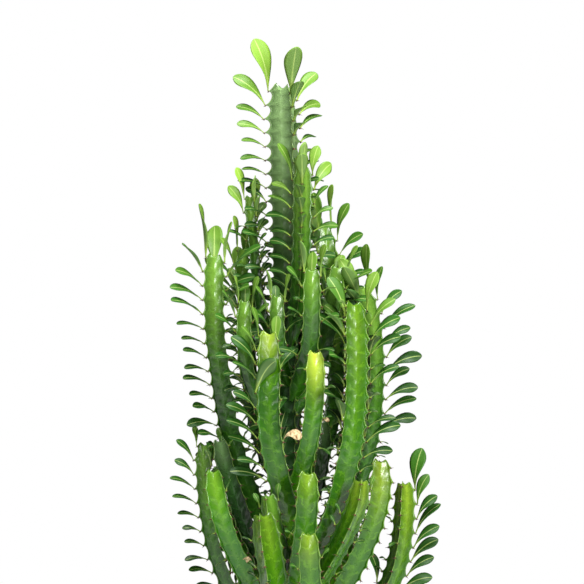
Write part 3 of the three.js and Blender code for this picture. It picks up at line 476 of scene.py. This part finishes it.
def stem_mesh(stem, line):
    """Points, faces, corner uvs (across, tooth phase) and the freshness of a stem's skin."""
    length = line["s"][-1]
    radius = stem["radius"]
    top = highest_tooth(stem, length)
    below = np.arange(top, 0, -RING_STEP)[::-1]
    s = np.concatenate([[0], below, np.linspace(top, length, 6)[1:], [length] * 2])
    shrink = np.concatenate([np.ones(len(s) - 2), [0.72, 0.36]])
    sunk = np.concatenate([np.zeros(len(s) - 8), [0, 0.1, 0.3, 0.55, 0.8, 1, 1, 1]])
    place, ahead, rib, side = frame_at(line, s)
    size = radius * girth(stem, length, s) * shrink
    fallen = [scallop(stem, length, s, k) for k in range(RIBS)]

    def column(k, way, v):
        angle = k * RIB_ANGLE
        to_groove = outward(rib, side, angle + way * RIB_ANGLE / 2)
        down, phase = fallen[k % RIBS]
        ridge = outward(rib, side, angle) * (size * (1 - stem["dip"] * down))[:, None]
        groove = to_groove * (size * GROOVE_RADIUS + GROOVE_ROUND)[:, None]
        flat = ridge * (1 - v) + groove * v
        normal = unit(np.cross(groove - ridge, ahead) * -way)
        wing = WING * (1 + 0.7 * (1 - down)) * (1 - math.exp(-v / 0.05)) * (1 - v) ** 1.6
        wave = RIPPLE * np.sin(2 * np.pi * (phase + ARM_RISE * v)) * 4 * v * (1 - v)
        hollow = -GROOVE_ROUND * (1 - math.exp(-((1 - v) / 0.16) ** 2)) * v
        keep = (size / radius)[:, None]
        # at the tip the ribs end in points, each lower than the one before, round a sunk middle
        point = (1 - v) ** 1.5 * shrink ** 1.5
        drop = -radius * sunk * (TIP_SUNK * (1 - point) + TIP_STAGGER * (k % RIBS) * point)
        relief = normal * (wing + wave)[:, None] + to_groove * hollow
        return place + ahead * drop[:, None] + flat + relief * keep

    columns = []
    quads = []
    for face in range(RIBS):
        onward = face + 1
        columns += [(face, 1, v) for v in FLANK] + [(onward, -1, 1.0)]
        columns += [(onward, -1, v) for v in reversed(FLANK[1:])]
        quads += [(face, 1 - a, 1 - b) for a, b in zip(FLANK, FLANK[1:] + [1.0])]
        down = [1.0] + FLANK[::-1]
        quads += [(onward, 1 - a, 1 - b) for a, b in zip(down, down[1:])]
    grid = np.stack([column(k, way, v) for k, way, v in columns], axis=1)
    rings, around = grid.shape[:2]
    middle = line["place"][-1:] - ahead[-1:] * radius * TIP_SUNK
    points = np.vstack([grid.reshape(-1, 3), place[:1], middle])
    faces = []
    uvs = []
    for c, (k, a, b) in enumerate(quads):
        d = (c + 1) % around
        phase = fallen[k % RIBS][1]
        for r in range(rings - 1):
            low, painted_top_glare = r * around, (r + 1) * around
            faces.append([low + c, low + d, painted_top_glare + d, painted_top_glare + c])
            uvs += [[a, phase[r]], [b, phase[r]], [b, phase[r + 1]], [a, phase[r + 1]]]
        root, tip = rings * around, rings * around + 1
        last = (rings - 1) * around
        faces += [[d, c, root], [last + c, last + d, tip]]
        uvs += [[b, phase[0]], [a, phase[0]], [0, phase[0]]]
        uvs += [[a, phase[-1]], [b, phase[-1]], [0, phase[-1]]]
    strength, reach = stem["fresh"]
    fresh = strength * np.exp(-((length - s) / reach) ** 2)
    fresh = np.concatenate([np.repeat(fresh, around), fresh[:1], fresh[-1:]])
    return points, faces, uvs, {"fresh": fresh}


# The skin of the stems: living green tissue under a clear waxy cuticle, so it is smooth and glossy.
# It is deep green near the ribs with pale feathered marbling, whose arms rise from the groove to
# each tooth. The ridge has a thin yellow-green edge.
def skin_material(name, deep, green, pale, tender):
    material, tree = new_material(name)
    place = add_node(tree, "TexCoord").outputs["Object"]
    surface = add_node(tree, "UVMap", uv_map="surface")
    parts = add_node(tree, "SeparateXYZ", {"Vector": surface})
    inward, phase = parts.outputs["X"], parts.outputs["Y"]
    fresh = add_node(tree, "Attribute", attribute_name="fresh").outputs["Fac"]
    # patches of about 12 mm shift the arms, so no two are alike
    patches = add_node(tree, "TexNoise", {"Vector": place, "Scale": 85, "Detail": 3})
    shift = add_node(tree, "Math", {0: patches, 1: -0.5}, operation="ADD")
    slope = add_node(tree, "Math", {0: inward, 1: -ARM_RISE, 2: phase}, operation="MULTIPLY_ADD")
    wander = add_node(tree, "Math", {0: shift, 1: 1.6, 2: slope}, operation="MULTIPLY_ADD")
    from_arm = add_node(tree, "Math", {0: wander, 1: 0.5}, operation="PINGPONG")
    arm = add_node(tree, "MapRange", {
        "Value": from_arm, "From Min": 0.02, "From Max": 0.15, "To Min": 0.75, "To Max": 0,
    }, interpolation_type="SMOOTHSTEP")
    arm_fade = add_node(tree, "MapRange", {
        "Value": inward, "From Min": 0.4, "From Max": 0.95, "To Min": 1, "To Max": 0.1})
    arm = add_node(tree, "Math", {0: arm, 1: arm_fade}, operation="MULTIPLY")
    middle = add_node(tree, "MapRange", {
        "Value": inward, "From Min": 0.04, "From Max": 0.5, "To Min": 0.95, "To Max": 0,
    }, interpolation_type="SMOOTHSTEP")
    middle = add_node(tree, "Math", {0: middle, 1: patches}, operation="MULTIPLY")
    marbling = add_node(tree, "Math", {0: arm, 1: middle}, operation="MAXIMUM")
    flecks = add_node(tree, "TexNoise", {"Vector": place, "Scale": 420, "Detail": 2})
    marbling = add_node(tree, "Math", {0: marbling, 1: flecks}, operation="MULTIPLY")
    marbling = add_node(tree, "Math", {0: marbling, 1: 1.2}, operation="MULTIPLY", use_clamp=True)
    broad = add_node(tree, "TexNoise", {"Vector": place, "Scale": 24, "Detail": 2})
    colour = add_node(tree, "Mix", {
        "Factor": broad, "A": linear(deep), "B": linear(green)}, data_type="RGBA")
    colour = add_node(tree, "Mix", {
        "Factor": marbling, "A": colour, "B": linear(pale)}, data_type="RGBA")
    in_groove = add_node(tree, "MapRange", {
        "Value": inward, "From Min": 0.05, "From Max": 0.75, "To Min": 1, "To Max": 0.45})
    fresh = add_node(tree, "Math", {0: fresh, 1: in_groove}, operation="MULTIPLY")
    colour = add_node(tree, "Mix", {
        "Factor": fresh, "A": colour, "B": linear(tender)}, data_type="RGBA")
    edge = add_node(tree, "MapRange", {
        "Value": inward, "From Min": 0.93, "From Max": 1, "To Min": 0, "To Max": 0.4})
    colour = add_node(tree, "Mix", {
        "Factor": edge, "A": colour, "B": linear(0xA9CC5C)}, data_type="RGBA")
    gloss = add_node(tree, "MapRange", {"Value": flecks, "To Min": 0.24, "To Max": 0.34})
    bumps = add_node(tree, "Math", {0: arm, 1: 0.5, 2: flecks}, operation="MULTIPLY_ADD")
    relief = add_node(tree, "Bump", {"Height": bumps, "Strength": 0.35, "Distance": 0.0006})
    shader = add_node(tree, "BsdfPrincipled", {
        "Base Color": colour, "Roughness": gloss, "IOR": 1.45,
        "Normal": relief, "Coat Weight": 0.35, "Coat Roughness": 0.16})
    add_node(tree, "OutputMaterial", {"Surface": shader})
    return material


# for each green of the table: its slot, then its material's deep, main, marbling and young colour
SKINS = {
    green: (slot, skin_material(name, *colours)) for green, slot, name, *colours in [
        ("deep", "old_green_skin", "euphorbia_skin_old", 0x0C2804, 0x1A460C, 0x3A702C, 0x9CC07C),
        ("mid", "green_skin", "euphorbia_skin", 0x143E00, 0x2A6604, 0x559428, 0x94BE48),
        ("bright", "bright_green_skin", "euphorbia_skin_bright", 0x1C4C00, 0x347400, 0x68A418, 0xD4E84C),
        ("young", "young_green_skin", "euphorbia_skin_young", 0x1E6400, 0x3C8C02, 0x70B428, 0xA6D43C),
    ]
}

plant = [(stem, middle_line(stem)) for stem in [MAIN_STEM] + BRANCHES]
for stem, line in plant:
    slot, material = SKINS[stem["green"]]
    points, faces, uvs, values = stem_mesh(stem, line)
    skin = make_piece(stem["name"].replace("_branch", "") + "_skin", points, faces, material, uvs, values)
    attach(skin, "root")
    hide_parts(stem["name"])


# ---- leaves ----
# Small fleshy spoon-shaped leaves, one from the top of each young tooth. They stand up at the tip of
# a stem and arch over lower down, and are bent aside where another stem or leaf is in the way. Many
# of the teeth between them carry a much smaller leaf.

LEAF_WIDTH = 0.33
LEAF_THICKNESS = 1.6
LEAF_DROOP = 50
YOUNG_RISE = 118
YOUNG_RISE_REACH = 18
YOUNG_SIZE_REACH = 55
BIG_LEAF = 50
LEAF_FOOT = 1.5
STEEPEST = 80  # degrees that the middle of a leaf may rise
YOUNG_STRAIGHT = 0.7  # share of the droop, and
YOUNG_BROAD = 0.35  # share more of the width, that the very youngest leaf has
# how much leaves differ: in length, as a share, and in degrees sideways, in rise and in roll
SIZE_VARIES, YAW_VARIES, LIFT_VARIES, ROLL_VARIES = 0.36, 16, 18, 60
LIGHT_ROLL = 60  # how far a leaf at the side rolls over to show its face to the front
STEM_SHARE = 0.86
STEM_CLEARANCE = 2.4
TOOTH_CLEARANCE = 5
LONGEST_LEAF = 60
FLAT_CLEARANCE = 3
BLADE_SHARE = (0.42, 0.17)
LEAF_BENDS = [
    (0, 0, 1), (22, 0, 1), (-22, 0, 1), (0, 20, 1), (40, 8, 1), (-40, 8, 1), (26, 22, 0.9),
    (-26, 22, 0.9), (0, 34, 0.8), (60, 12, 0.75), (-60, 12, 0.75), (0, 8, 0.55)]


def seeded_draws(seed):
    """Numbers from 0 to 1, the same every time for a seed."""
    state = seed * 7919 + 1

    def draw():
        nonlocal state
        state = state * 16807 % 2147483647
        return state / 2147483647

    return draw


def swung(start, towards, angle):
    """A direction turned by an angle towards another that is at right angles to it."""
    return start * math.cos(angle) + towards * math.sin(angle)


# every place on every stem's middle line, with the radius that has to be kept clear of there
line_places = np.vstack([line["place"] for _, line in plant])
line_radii = np.concatenate([
    stem["radius"] * STEM_SHARE * girth(stem, line["s"][-1], line["s"]) for stem, line in plant])
line_owner = np.concatenate([[n] * len(line["s"]) for n, (_, line) in enumerate(plant)])


def nearest_stem(point, owner):
    """From a point to the skin of the nearest stem other than its own."""
    others = line_owner != owner
    return np.min(np.linalg.norm(line_places[others] - point, axis=1) - line_radii[others])


def leaf_frame(leaf, share):
    """Heading, right and upward directions of the blade at a share of its length."""
    side = np.cross(leaf["up"], leaf["out"])
    angle = leaf["rise"] - leaf["droop"] * share
    over = swung(leaf["up"], leaf["out"], -angle)
    roll = leaf["roll"] * share
    return swung(leaf["out"], leaf["up"], angle), swung(side, over, roll), swung(over, side, -roll)


def leaf_places(leaf, shares):
    """Places along the middle of the blade."""
    place, before, out = leaf["foot"], 0, []
    for share in shares:
        midway = leaf["rise"] - leaf["droop"] * 0.5 * (share + before)
        place = place + swung(leaf["out"], leaf["up"], midway) * leaf["length"] * (share - before)
        before = share
        out.append(place)
    return out


def blades_apart(one, two):
    """Whether two blades leave each other room at each of a few places."""
    for here, _, right, above, heading in one["probes"]:
        for there, _, _, _, _ in two["probes"]:
            gap = there - here
            wide = gap @ right / (BLADE_SHARE[0] * (one["width"] + two["width"]))
            long = gap @ heading / (BLADE_SHARE[1] * (one["length"] + two["length"]))
            over = gap @ above / FLAT_CLEARANCE
            if wide * wide + long * long + over * over <= 1:
                return False
    return True


def leaf_at(stem, line, owner, s, rib, nth, draw, grown):
    """The leaf at a tooth, if it has one, bent clear of what is near it."""
    from_tip = line["s"][-1] - s
    grows = draw() < stem["leafy"][rib] and from_tip < stem["reach"] * (0.8 + 0.2 * draw())
    size = 1 + SIZE_VARIES * (draw() - 0.5)
    yaw = YAW_VARIES * (draw() - 0.5)
    lift = LIFT_VARIES * (draw() - 0.5)
    roll = ROLL_VARIES * (draw() - 0.5)
    foot, ahead, away, sideways = tooth_at(stem, line, s, rib)
    roll += LIGHT_ROLL * sideways[1]
    if not grows or nearest_stem(foot, owner) <= TOOTH_CLEARANCE:
        return None
    young = math.exp(-from_tip / YOUNG_RISE_REACH)
    lush = math.exp(-((from_tip / YOUNG_SIZE_REACH) ** 2))
    full = stem["leaf"] * size * (1 + stem["lush"] * lush)
    mean, aside = min(STEEPEST, stem["rise"] + lift + YOUNG_RISE * young), yaw
    crossing = stem.get("crossing")
    if crossing and (crossing["rib"], crossing["tooth"]) == (rib, nth):
        full, mean, aside, roll = (crossing[k] for k in ("leaf", "rise", "turn", "roll"))
    droop = LEAF_DROOP * (1 - YOUNG_STRAIGHT * young)
    for turn, up, share in LEAF_BENDS:
        leaf = dict(
            foot=foot, up=ahead, out=swung(away, sideways, math.radians(aside + turn)),
            rise=math.radians(min(STEEPEST, mean + up) + 0.5 * droop),
            droop=math.radians(droop), roll=math.radians(roll), length=full * share,
            width=full * share * LEAF_WIDTH * (1 + YOUNG_BROAD * young), from_tip=from_tip)
        shares = (0.34, 0.64, 0.87, 1) if leaf["length"] > BIG_LEAF else (0.48, 0.82, 1)
        leaf["probes"] = []
        for place, share in zip(leaf_places(leaf, shares), shares):
            heading, right, above = leaf_frame(leaf, share)
            leaf["probes"].append((place, share, right, above, heading))
        reach = leaf["length"] + LONGEST_LEAF
        if all(nearest_stem(probe[0], owner) > STEM_CLEARANCE for probe in leaf["probes"]) and all(
                np.linalg.norm(taken["foot"] - foot) > reach or blades_apart(taken, leaf) for taken in grown):
            return leaf
    return None


SMALL_LEAF = (11, 20)  # shortest and longest
SMALL_LEAF_WIDTH = 0.36  # of its length
SMALL_LEAF_SHARE = 0.85  # of the teeth without a large one, where all ribs are leafy
SMALL_LEAF_CLEARANCE = 1  # from its end to another stem
SAME_TOOTH = 6  # a large leaf nearer than this stands on the same tooth
SMALL_RISE, SMALL_DROOP = 38, 60
SMALL_YAW_VARIES, SMALL_RISE_VARIES, SMALL_ROLL_VARIES = 35, 26, 70


def small_leaves(stem, line, owner, own, chance):
    """Small leaves that grow on teeth without a large one, most of them on a leafy rib."""
    length = line["s"][-1]
    taken = [leaf["foot"] for leaf in own]
    small = []
    for rib in range(RIBS):
        for s in tooth_places(stem, length, rib):
            foot, ahead, away, sideways = tooth_at(stem, line, s, rib)
            wanted = chance.uniform() < SMALL_LEAF_SHARE * sum(stem["leafy"]) / RIBS
            yaw, rise, roll = (chance.uniform(-1, 1) for _ in range(3))
            full = chance.uniform(*SMALL_LEAF)
            if not wanted or any(np.linalg.norm(foot - other) < SAME_TOOTH for other in taken):
                continue
            leaf = dict(
                foot=foot, up=ahead, out=swung(away, sideways, math.radians(SMALL_YAW_VARIES * yaw)),
                rise=math.radians(SMALL_RISE + SMALL_RISE_VARIES * rise), droop=math.radians(SMALL_DROOP),
                roll=math.radians(SMALL_ROLL_VARIES * roll), length=full, width=SMALL_LEAF_WIDTH * full,
                from_tip=length - s)
            if nearest_stem(leaf_places(leaf, [0.5, 1])[-1], owner) > SMALL_LEAF_CLEARANCE:
                small.append(leaf)
    return small


BLADE_SHARES = [0, 0.05, 0.12, 0.2, 0.3, 0.4, 0.5, 0.6, 0.7, 0.79, 0.87, 0.93, 0.97, 0.992]
BLADE_TOP = [-1, -0.7, -0.36, -0.1, 0.1, 0.36, 0.7, 1]
BLADE_UNDER = [0.66, 0.22, 0, -0.22, -0.66]


def blade_mesh(leaf):
    """Points, faces, corner uvs (across, along) and undersides of one leaf."""
    points, places = [], leaf_places(leaf, BLADE_SHARES + [1])
    across = BLADE_TOP + BLADE_UNDER
    under = [0] * len(BLADE_TOP) + [1] * len(BLADE_UNDER)
    for share, place in zip(BLADE_SHARES, places):
        _, right, above = leaf_frame(leaf, share)
        half = max(LEAF_FOOT * (1 - share), 0.5 * leaf["width"] * math.sin(math.pi * share ** 1.9) ** 0.62)
        full = min(1, half / 2.5)
        for x, below in zip(across, under):
            channel = 0.16 * half * (abs(x) ** 1.5 - 0.4) + 0.25 * (abs(x) < 0.2)
            thick = (LEAF_THICKNESS * (1 - 0.4 * share) * (1 - abs(x)) ** 0.8 + 0.5) * full * below
            points.append(place + right * half * x + above * (channel * full - thick))
    around = len(across)
    faces, uvs = [], []
    for row in range(len(BLADE_SHARES) - 1):
        low, painted_top_glare = row * around, (row + 1) * around
        for c in range(around):
            d = (c + 1) % around
            faces.append([low + d, low + c, painted_top_glare + c, painted_top_glare + d])
            v, w = BLADE_SHARES[row], BLADE_SHARES[row + 1]
            uvs += [[across[d], v], [across[c], v], [across[c], w], [across[d], w]]
    points += [places[-1], leaf["foot"]]
    last, tip = (len(BLADE_SHARES) - 1) * around, len(points) - 2
    for c in range(around):
        d = (c + 1) % around
        faces += [[last + d, last + c, tip], [c, d, tip + 1]]
        uvs += [[across[d], 1], [across[c], 1], [0, 1], [across[c], 0], [across[d], 0], [0, 0]]
    return points, faces, uvs, under * len(BLADE_SHARES) + [0, 0]


# A fleshy leaf has the same waxy cuticle, but thin tissue that lets some light through. Old ones
# are dark above, greyer below, with a pale midrib and a yellow-green stalk; young ones are paler. Leaves high
# on the plant are also painted paler the higher they stand: painted light for the glare on the plant's top.
leaf_flesh, tree = new_material("euphorbia_leaf")
place = add_node(tree, "TexCoord").outputs["Object"]
surface = add_node(tree, "UVMap", uv_map="surface")
parts = add_node(tree, "SeparateXYZ", {"Vector": surface})
tone = add_node(tree, "Attribute", attribute_name="tone").outputs["Fac"]
under = add_node(tree, "Attribute", attribute_name="under").outputs["Fac"]
greens = add_node(tree, "ValToRGB", {"Fac": tone})
greens.color_ramp.elements[0].color = linear(0x163A0C)
greens.color_ramp.elements[1].color = linear(0x9CC848)
half_way = greens.color_ramp.elements.new(0.5)
half_way.color = linear(0x38741C)
dull = add_node(tree, "Math", {0: under, 1: 0.55}, operation="MULTIPLY")
colour = add_node(tree, "Mix", {
    "Factor": dull, "A": greens, "B": linear(0x7C9C60)}, data_type="RGBA")
off_middle = add_node(tree, "Math", {0: parts.outputs["X"]}, operation="ABSOLUTE")
rib_width = add_node(tree, "MapRange", {
    "Value": parts.outputs["Y"], "From Min": 0, "From Max": 0.5, "To Min": 0.6, "To Max": 0.1})
midrib = add_node(tree, "MapRange", {
    "Value": off_middle, "From Min": 0.02, "From Max": rib_width, "To Min": 0.85, "To Max": 0})
colour = add_node(tree, "Mix", {
    "Factor": midrib, "A": colour, "B": linear(0xC4DC7E)}, data_type="RGBA")
stalk = add_node(tree, "MapRange", {
    "Value": parts.outputs["Y"], "From Min": 0.04, "From Max": 0.3, "To Min": 0.85, "To Max": 0})
colour = add_node(tree, "Mix", {
    "Factor": stalk, "A": colour, "B": linear(0xAECB4E)}, data_type="RGBA")
mottle = add_node(tree, "TexNoise", {"Vector": place, "Scale": 160, "Detail": 3})
gloss = add_node(tree, "MapRange", {"Value": mottle, "To Min": 0.36, "To Max": 0.52})
relief = add_node(tree, "Bump", {"Height": mottle, "Strength": 0.2, "Distance": 0.0008})
shader = add_node(tree, "BsdfPrincipled", {
    "Base Color": colour, "Roughness": gloss, "IOR": 1.45, "Normal": relief})
through = add_node(tree, "BsdfTranslucent", {"Color": colour})
mixed = add_node(tree, "MixShader", {"Fac": 0.22, 1: shader, 2: through})
add_node(tree, "OutputMaterial", {"Surface": mixed})



def gather(points, faces, piece):
    """Adds a piece's points and faces to lists of them."""
    faces += [[index + len(points) for index in face] for face in piece[1]]
    points += piece[0]


grown = []
for owner, (stem, line) in enumerate(plant):
    draw = seeded_draws(stem["seed"])
    own = []
    for rib in range(RIBS):
        for nth, s in enumerate(tooth_places(stem, line["s"][-1], rib)):
            leaf = leaf_at(stem, line, owner, s, rib, nth, draw, grown)
            if leaf:
                own.append(leaf)
                grown.append(leaf)
    if not own:
        continue
    chance = np.random.RandomState(stem["seed"])
    own += small_leaves(stem, line, owner, own, chance)
    points, faces, uvs, undersides, tones = [], [], [], [], []
    for leaf in own:
        *blade, blade_uvs, under = blade_mesh(leaf)
        gather(points, faces, blade)
        uvs += blade_uvs
        undersides += under
        # paler near the tip of its stem, where leaves are young, and painted paler higher up the plant:
        # painted light standing for the glare on the plant's top
        painted_top_glare = np.clip((leaf["foot"][2] - 560) / 420, 0, 1)
        near_tip = math.exp(-leaf["from_tip"] / 45)
        tone = np.clip(0.2 + 0.55 * near_tip + 0.3 * painted_top_glare + chance.uniform(-0.12, 0.14), 0, 1)
        tones += [tone] * len(under)
    leaves = make_piece(stem["name"].replace("_branch", "") + "_leaves", points, faces, leaf_flesh, uvs,
                        {"under": undersides, "tone": tones})
    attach(leaves, "root")


# ---- withered leaves ----
# Old leaves dry out on the plant, curl up, and hang caught between the teeth of two stems.

WITHERED = [  # foot, the way it points, length, how far it curls in degrees
    ([-5, -104, 532], [0.9, -0.2, 0.2], 28, 150),
    ([43, -78, 552], [0.8, -0.3, 0.2], 12, 160),
    ([-55, -118, 384], [0.7, -0.5, -0.3], 15, 190),
]

# Dry leaf tissue is papery and matt: tan where it is thin, brown along its folds.
dry_leaf, tree = new_material("withered_leaf")
place = add_node(tree, "TexCoord").outputs["Object"]
folds = add_node(tree, "TexNoise", {"Vector": place, "Scale": 260, "Detail": 4})
tans = add_node(tree, "ValToRGB", {"Fac": folds})
tans.color_ramp.elements[0].position = 0.36
tans.color_ramp.elements[0].color = linear(0x7A5A34)
tans.color_ramp.elements[1].position = 0.58
tans.color_ramp.elements[1].color = linear(0xDCC596)
creases = add_node(tree, "Bump", {"Height": folds, "Strength": 0.7, "Distance": 0.002})
shader = add_node(tree, "BsdfPrincipled", {
    "Base Color": tans, "Roughness": 0.8, "IOR": 1.45, "Normal": creases})
add_node(tree, "OutputMaterial", {"Surface": shader})

points, faces = [], []
for foot, heading, length, curl in WITHERED:
    out = unit(np.array(heading))
    leaf = dict(foot=np.array(foot, float), out=out, up=across_to(np.array([0.2, -0.4, 0.9]), out),
                rise=math.radians(0.4 * curl), droop=math.radians(curl), roll=math.radians(50),
                length=length, width=0.5 * length)
    gather(points, faces, blade_mesh(leaf))
withered = make_piece("withered_leaves", points, faces, dry_leaf)
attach(withered, "root")


# ---- spines ----
# Each tooth ends in a small horny tan shield that carries a pair of short stiff spines, spread to
# either side. They harden red-brown and turn dark at the point.

SPINE_LENGTH = 5.2
SPINE_RADIUS = 0.62
SHIELD = (1.7, 1.1, 0.7)  # half its length up the rib, half its width, and its height


def stacked(rings, tip):
    """Points and faces of rings of points on each other, closed by a base and a tip."""
    sides = len(rings[0])
    points = [point for ring in rings for point in ring] + [tip]
    faces = []
    for low in range(0, (len(rings) - 1) * sides, sides):
        for c in range(sides):
            d = (c + 1) % sides
            faces.append([low + c, low + d, low + sides + d, low + sides + c])
    last = (len(rings) - 1) * sides
    faces += [[last + c, last + (c + 1) % sides, last + sides] for c in range(sides)]
    faces.append(list(range(sides))[::-1])
    return points, faces


def cone(foot, heading, length, radius, sides=5):
    """Points and faces of a slim spine."""
    one = across_to(np.array([0.3, 0.2, 1.0]), heading)
    two = np.cross(heading, one)
    spokes = [one * math.cos(a) + two * math.sin(a) for a in np.arange(sides) * 2 * np.pi / sides]
    rings = [[foot + heading * along * length + spoke * radius * wide for spoke in spokes]
             for along, wide in ((-0.15, 1), (0.35, 0.72), (0.75, 0.36))]
    return stacked(rings, foot + heading * length)


def shield(foot, ahead, away, sideways, size):
    """Points and faces of the little cushion that a pair of spines stands on."""
    length, width, height = (v * size for v in SHIELD)
    spokes = [ahead * length * math.sin(a) + sideways * width * math.cos(a)
              for a in np.arange(8) * math.pi / 4]
    rings = [[foot + spoke * wide + away * height * level for spoke in spokes]
             for level, wide in ((-0.5, 1), (0.45, 0.8), (0.85, 0.45))]
    return stacked(rings, foot + away * height)


# Horn is hard, dense and half-glossy: tan where it is thick, red-brown to nearly black in a spine.
horn, tree = new_material("spine_horn")
ripe = add_node(tree, "Attribute", attribute_name="ripe").outputs["Fac"]
browns = add_node(tree, "ValToRGB", {"Fac": ripe})
browns.color_ramp.elements[0].color = linear(0x8A6A44)
browns.color_ramp.elements[1].color = linear(0x1E0E0A)
reddish = browns.color_ramp.elements.new(0.45)
reddish.color = linear(0x4E2416)
place = add_node(tree, "TexCoord").outputs["Object"]
grain = add_node(tree, "TexNoise", {"Vector": place, "Scale": 900, "Detail": 2})
relief = add_node(tree, "Bump", {"Height": grain, "Strength": 0.3, "Distance": 0.0003})
shader = add_node(tree, "BsdfPrincipled", {
    "Base Color": browns, "Roughness": 0.5, "IOR": 1.54, "Normal": relief})
add_node(tree, "OutputMaterial", {"Surface": shader})

for owner, (stem, line) in enumerate(plant):
    chance = np.random.RandomState(stem["seed"] + 100)
    length = line["s"][-1]
    points, faces, ripeness = [], [], []
    for rib in range(RIBS):
        for s in tooth_places(stem, length, rib):
            tooth, ahead, away, sideways = tooth_at(stem, line, s, rib)
            if nearest_stem(tooth, owner) <= TOOTH_CLEARANCE:
                continue
            old = 1 - math.exp(-(length - s) / 60)
            size = 0.75 + 0.25 * old
            foot = tooth - away * 0.5 - ahead * 0.8
            gather(points, faces, shield(foot, ahead, away, sideways, size))
            ripeness += [0.12 + 0.2 * chance.uniform()] * 25
            for way in (-1, 1):
                heading = unit(0.62 * away + way * (0.72 + 0.2 * chance.uniform()) * sideways
                               + chance.uniform(-0.35, 0.1) * ahead)
                long = SPINE_LENGTH * size * chance.uniform(0.8, 1.15)
                gather(points, faces, cone(foot + way * sideways * 0.7, heading, long, SPINE_RADIUS * size))
                ripeness += [0.4] * 5 + [0.62] * 5 + [0.85] * 5 + [1]
    name = stem["name"].replace("_branch", "") + "_spines"
    spines = make_piece(name, points, faces, horn, None, {"ripe": ripeness})
    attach(spines, "root")


# ---- floor, light and camera ----
# A plain pale floor, large soft lamps, and a level camera in front of the middle of the plant.

floor_paint, tree = new_material("pale_floor")
shader = add_node(tree, "BsdfPrincipled", {"Base Color": linear(0xF2F2F0), "Roughness": 0.9})
add_node(tree, "OutputMaterial", {"Surface": shader})
floor = make_piece("floor", *lathe([[1, 0], [2100, 0]], 64), floor_paint)


def soft_lamp(name, spot, aim, size, power, colour):
    data = bpy.data.lights.new(name, "AREA")
    data.shape = "RECTANGLE"
    data.size, data.size_y = size
    data.energy = power
    data.color = linear(colour)[:3]
    lamp = bpy.data.objects.new(name, data)
    lamp.location = spot
    to = np.array(aim, float) - np.array(spot, float)
    lamp.rotation_euler = (math.acos(-to[2] / np.linalg.norm(to)), 0, math.atan2(to[1], to[0]) - math.pi / 2)
    bpy.context.scene.collection.objects.link(lamp)


soft_lamp("key_lamp", (1.3, -2.1, 1.1), (0, 0, 0.95), (0.45, 1.2), 58, 0xFFFFFF)
soft_lamp("fill_lamp", (-1.9, -1.5, 1.15), (0, 0, 0.95), (0.2, 1.2), 13, 0xFFFFFF)
soft_lamp("top_lamp", (0.1, -0.5, 2.1), (0, 0, 0.9), (1.0, 0.8), 40, 0xFFFFFF)

world = bpy.data.worlds.new("studio")
world.use_nodes = True
world.node_tree.nodes.clear()
air = add_node(world.node_tree, "Background", {"Color": (1, 1, 1, 1), "Strength": 0.07})
wall = add_node(world.node_tree, "Background", {"Color": (1, 1, 1, 1), "Strength": 1})
seen = add_node(world.node_tree, "LightPath")
either = add_node(world.node_tree, "MixShader", {
    "Fac": seen.outputs["Is Camera Ray"], 1: air, 2: wall})
add_node(world.node_tree, "OutputWorld", {"Surface": either})
bpy.context.scene.world = world
bpy.context.scene.view_settings.view_transform = "Standard"

VIEW_FROM = 2600  # mm in front of the main stem
VIEW_WIDTH = 759.2  # mm across the frame at the main stem
VIEW_MIDDLE = (5.2, 715.4)
camera_data = bpy.data.cameras.new("camera")
camera_data.sensor_width = 36
camera_data.lens = 36 * VIEW_FROM / VIEW_WIDTH
camera_data.clip_end = 20
camera = bpy.data.objects.new("camera", camera_data)
camera.location = (VIEW_MIDDLE[0] / 1000, -VIEW_FROM / 1000, VIEW_MIDDLE[1] / 1000)
camera.rotation_euler = (math.pi / 2, 0, 0)
bpy.context.scene.collection.objects.link(camera)
bpy.context.scene.camera = camera
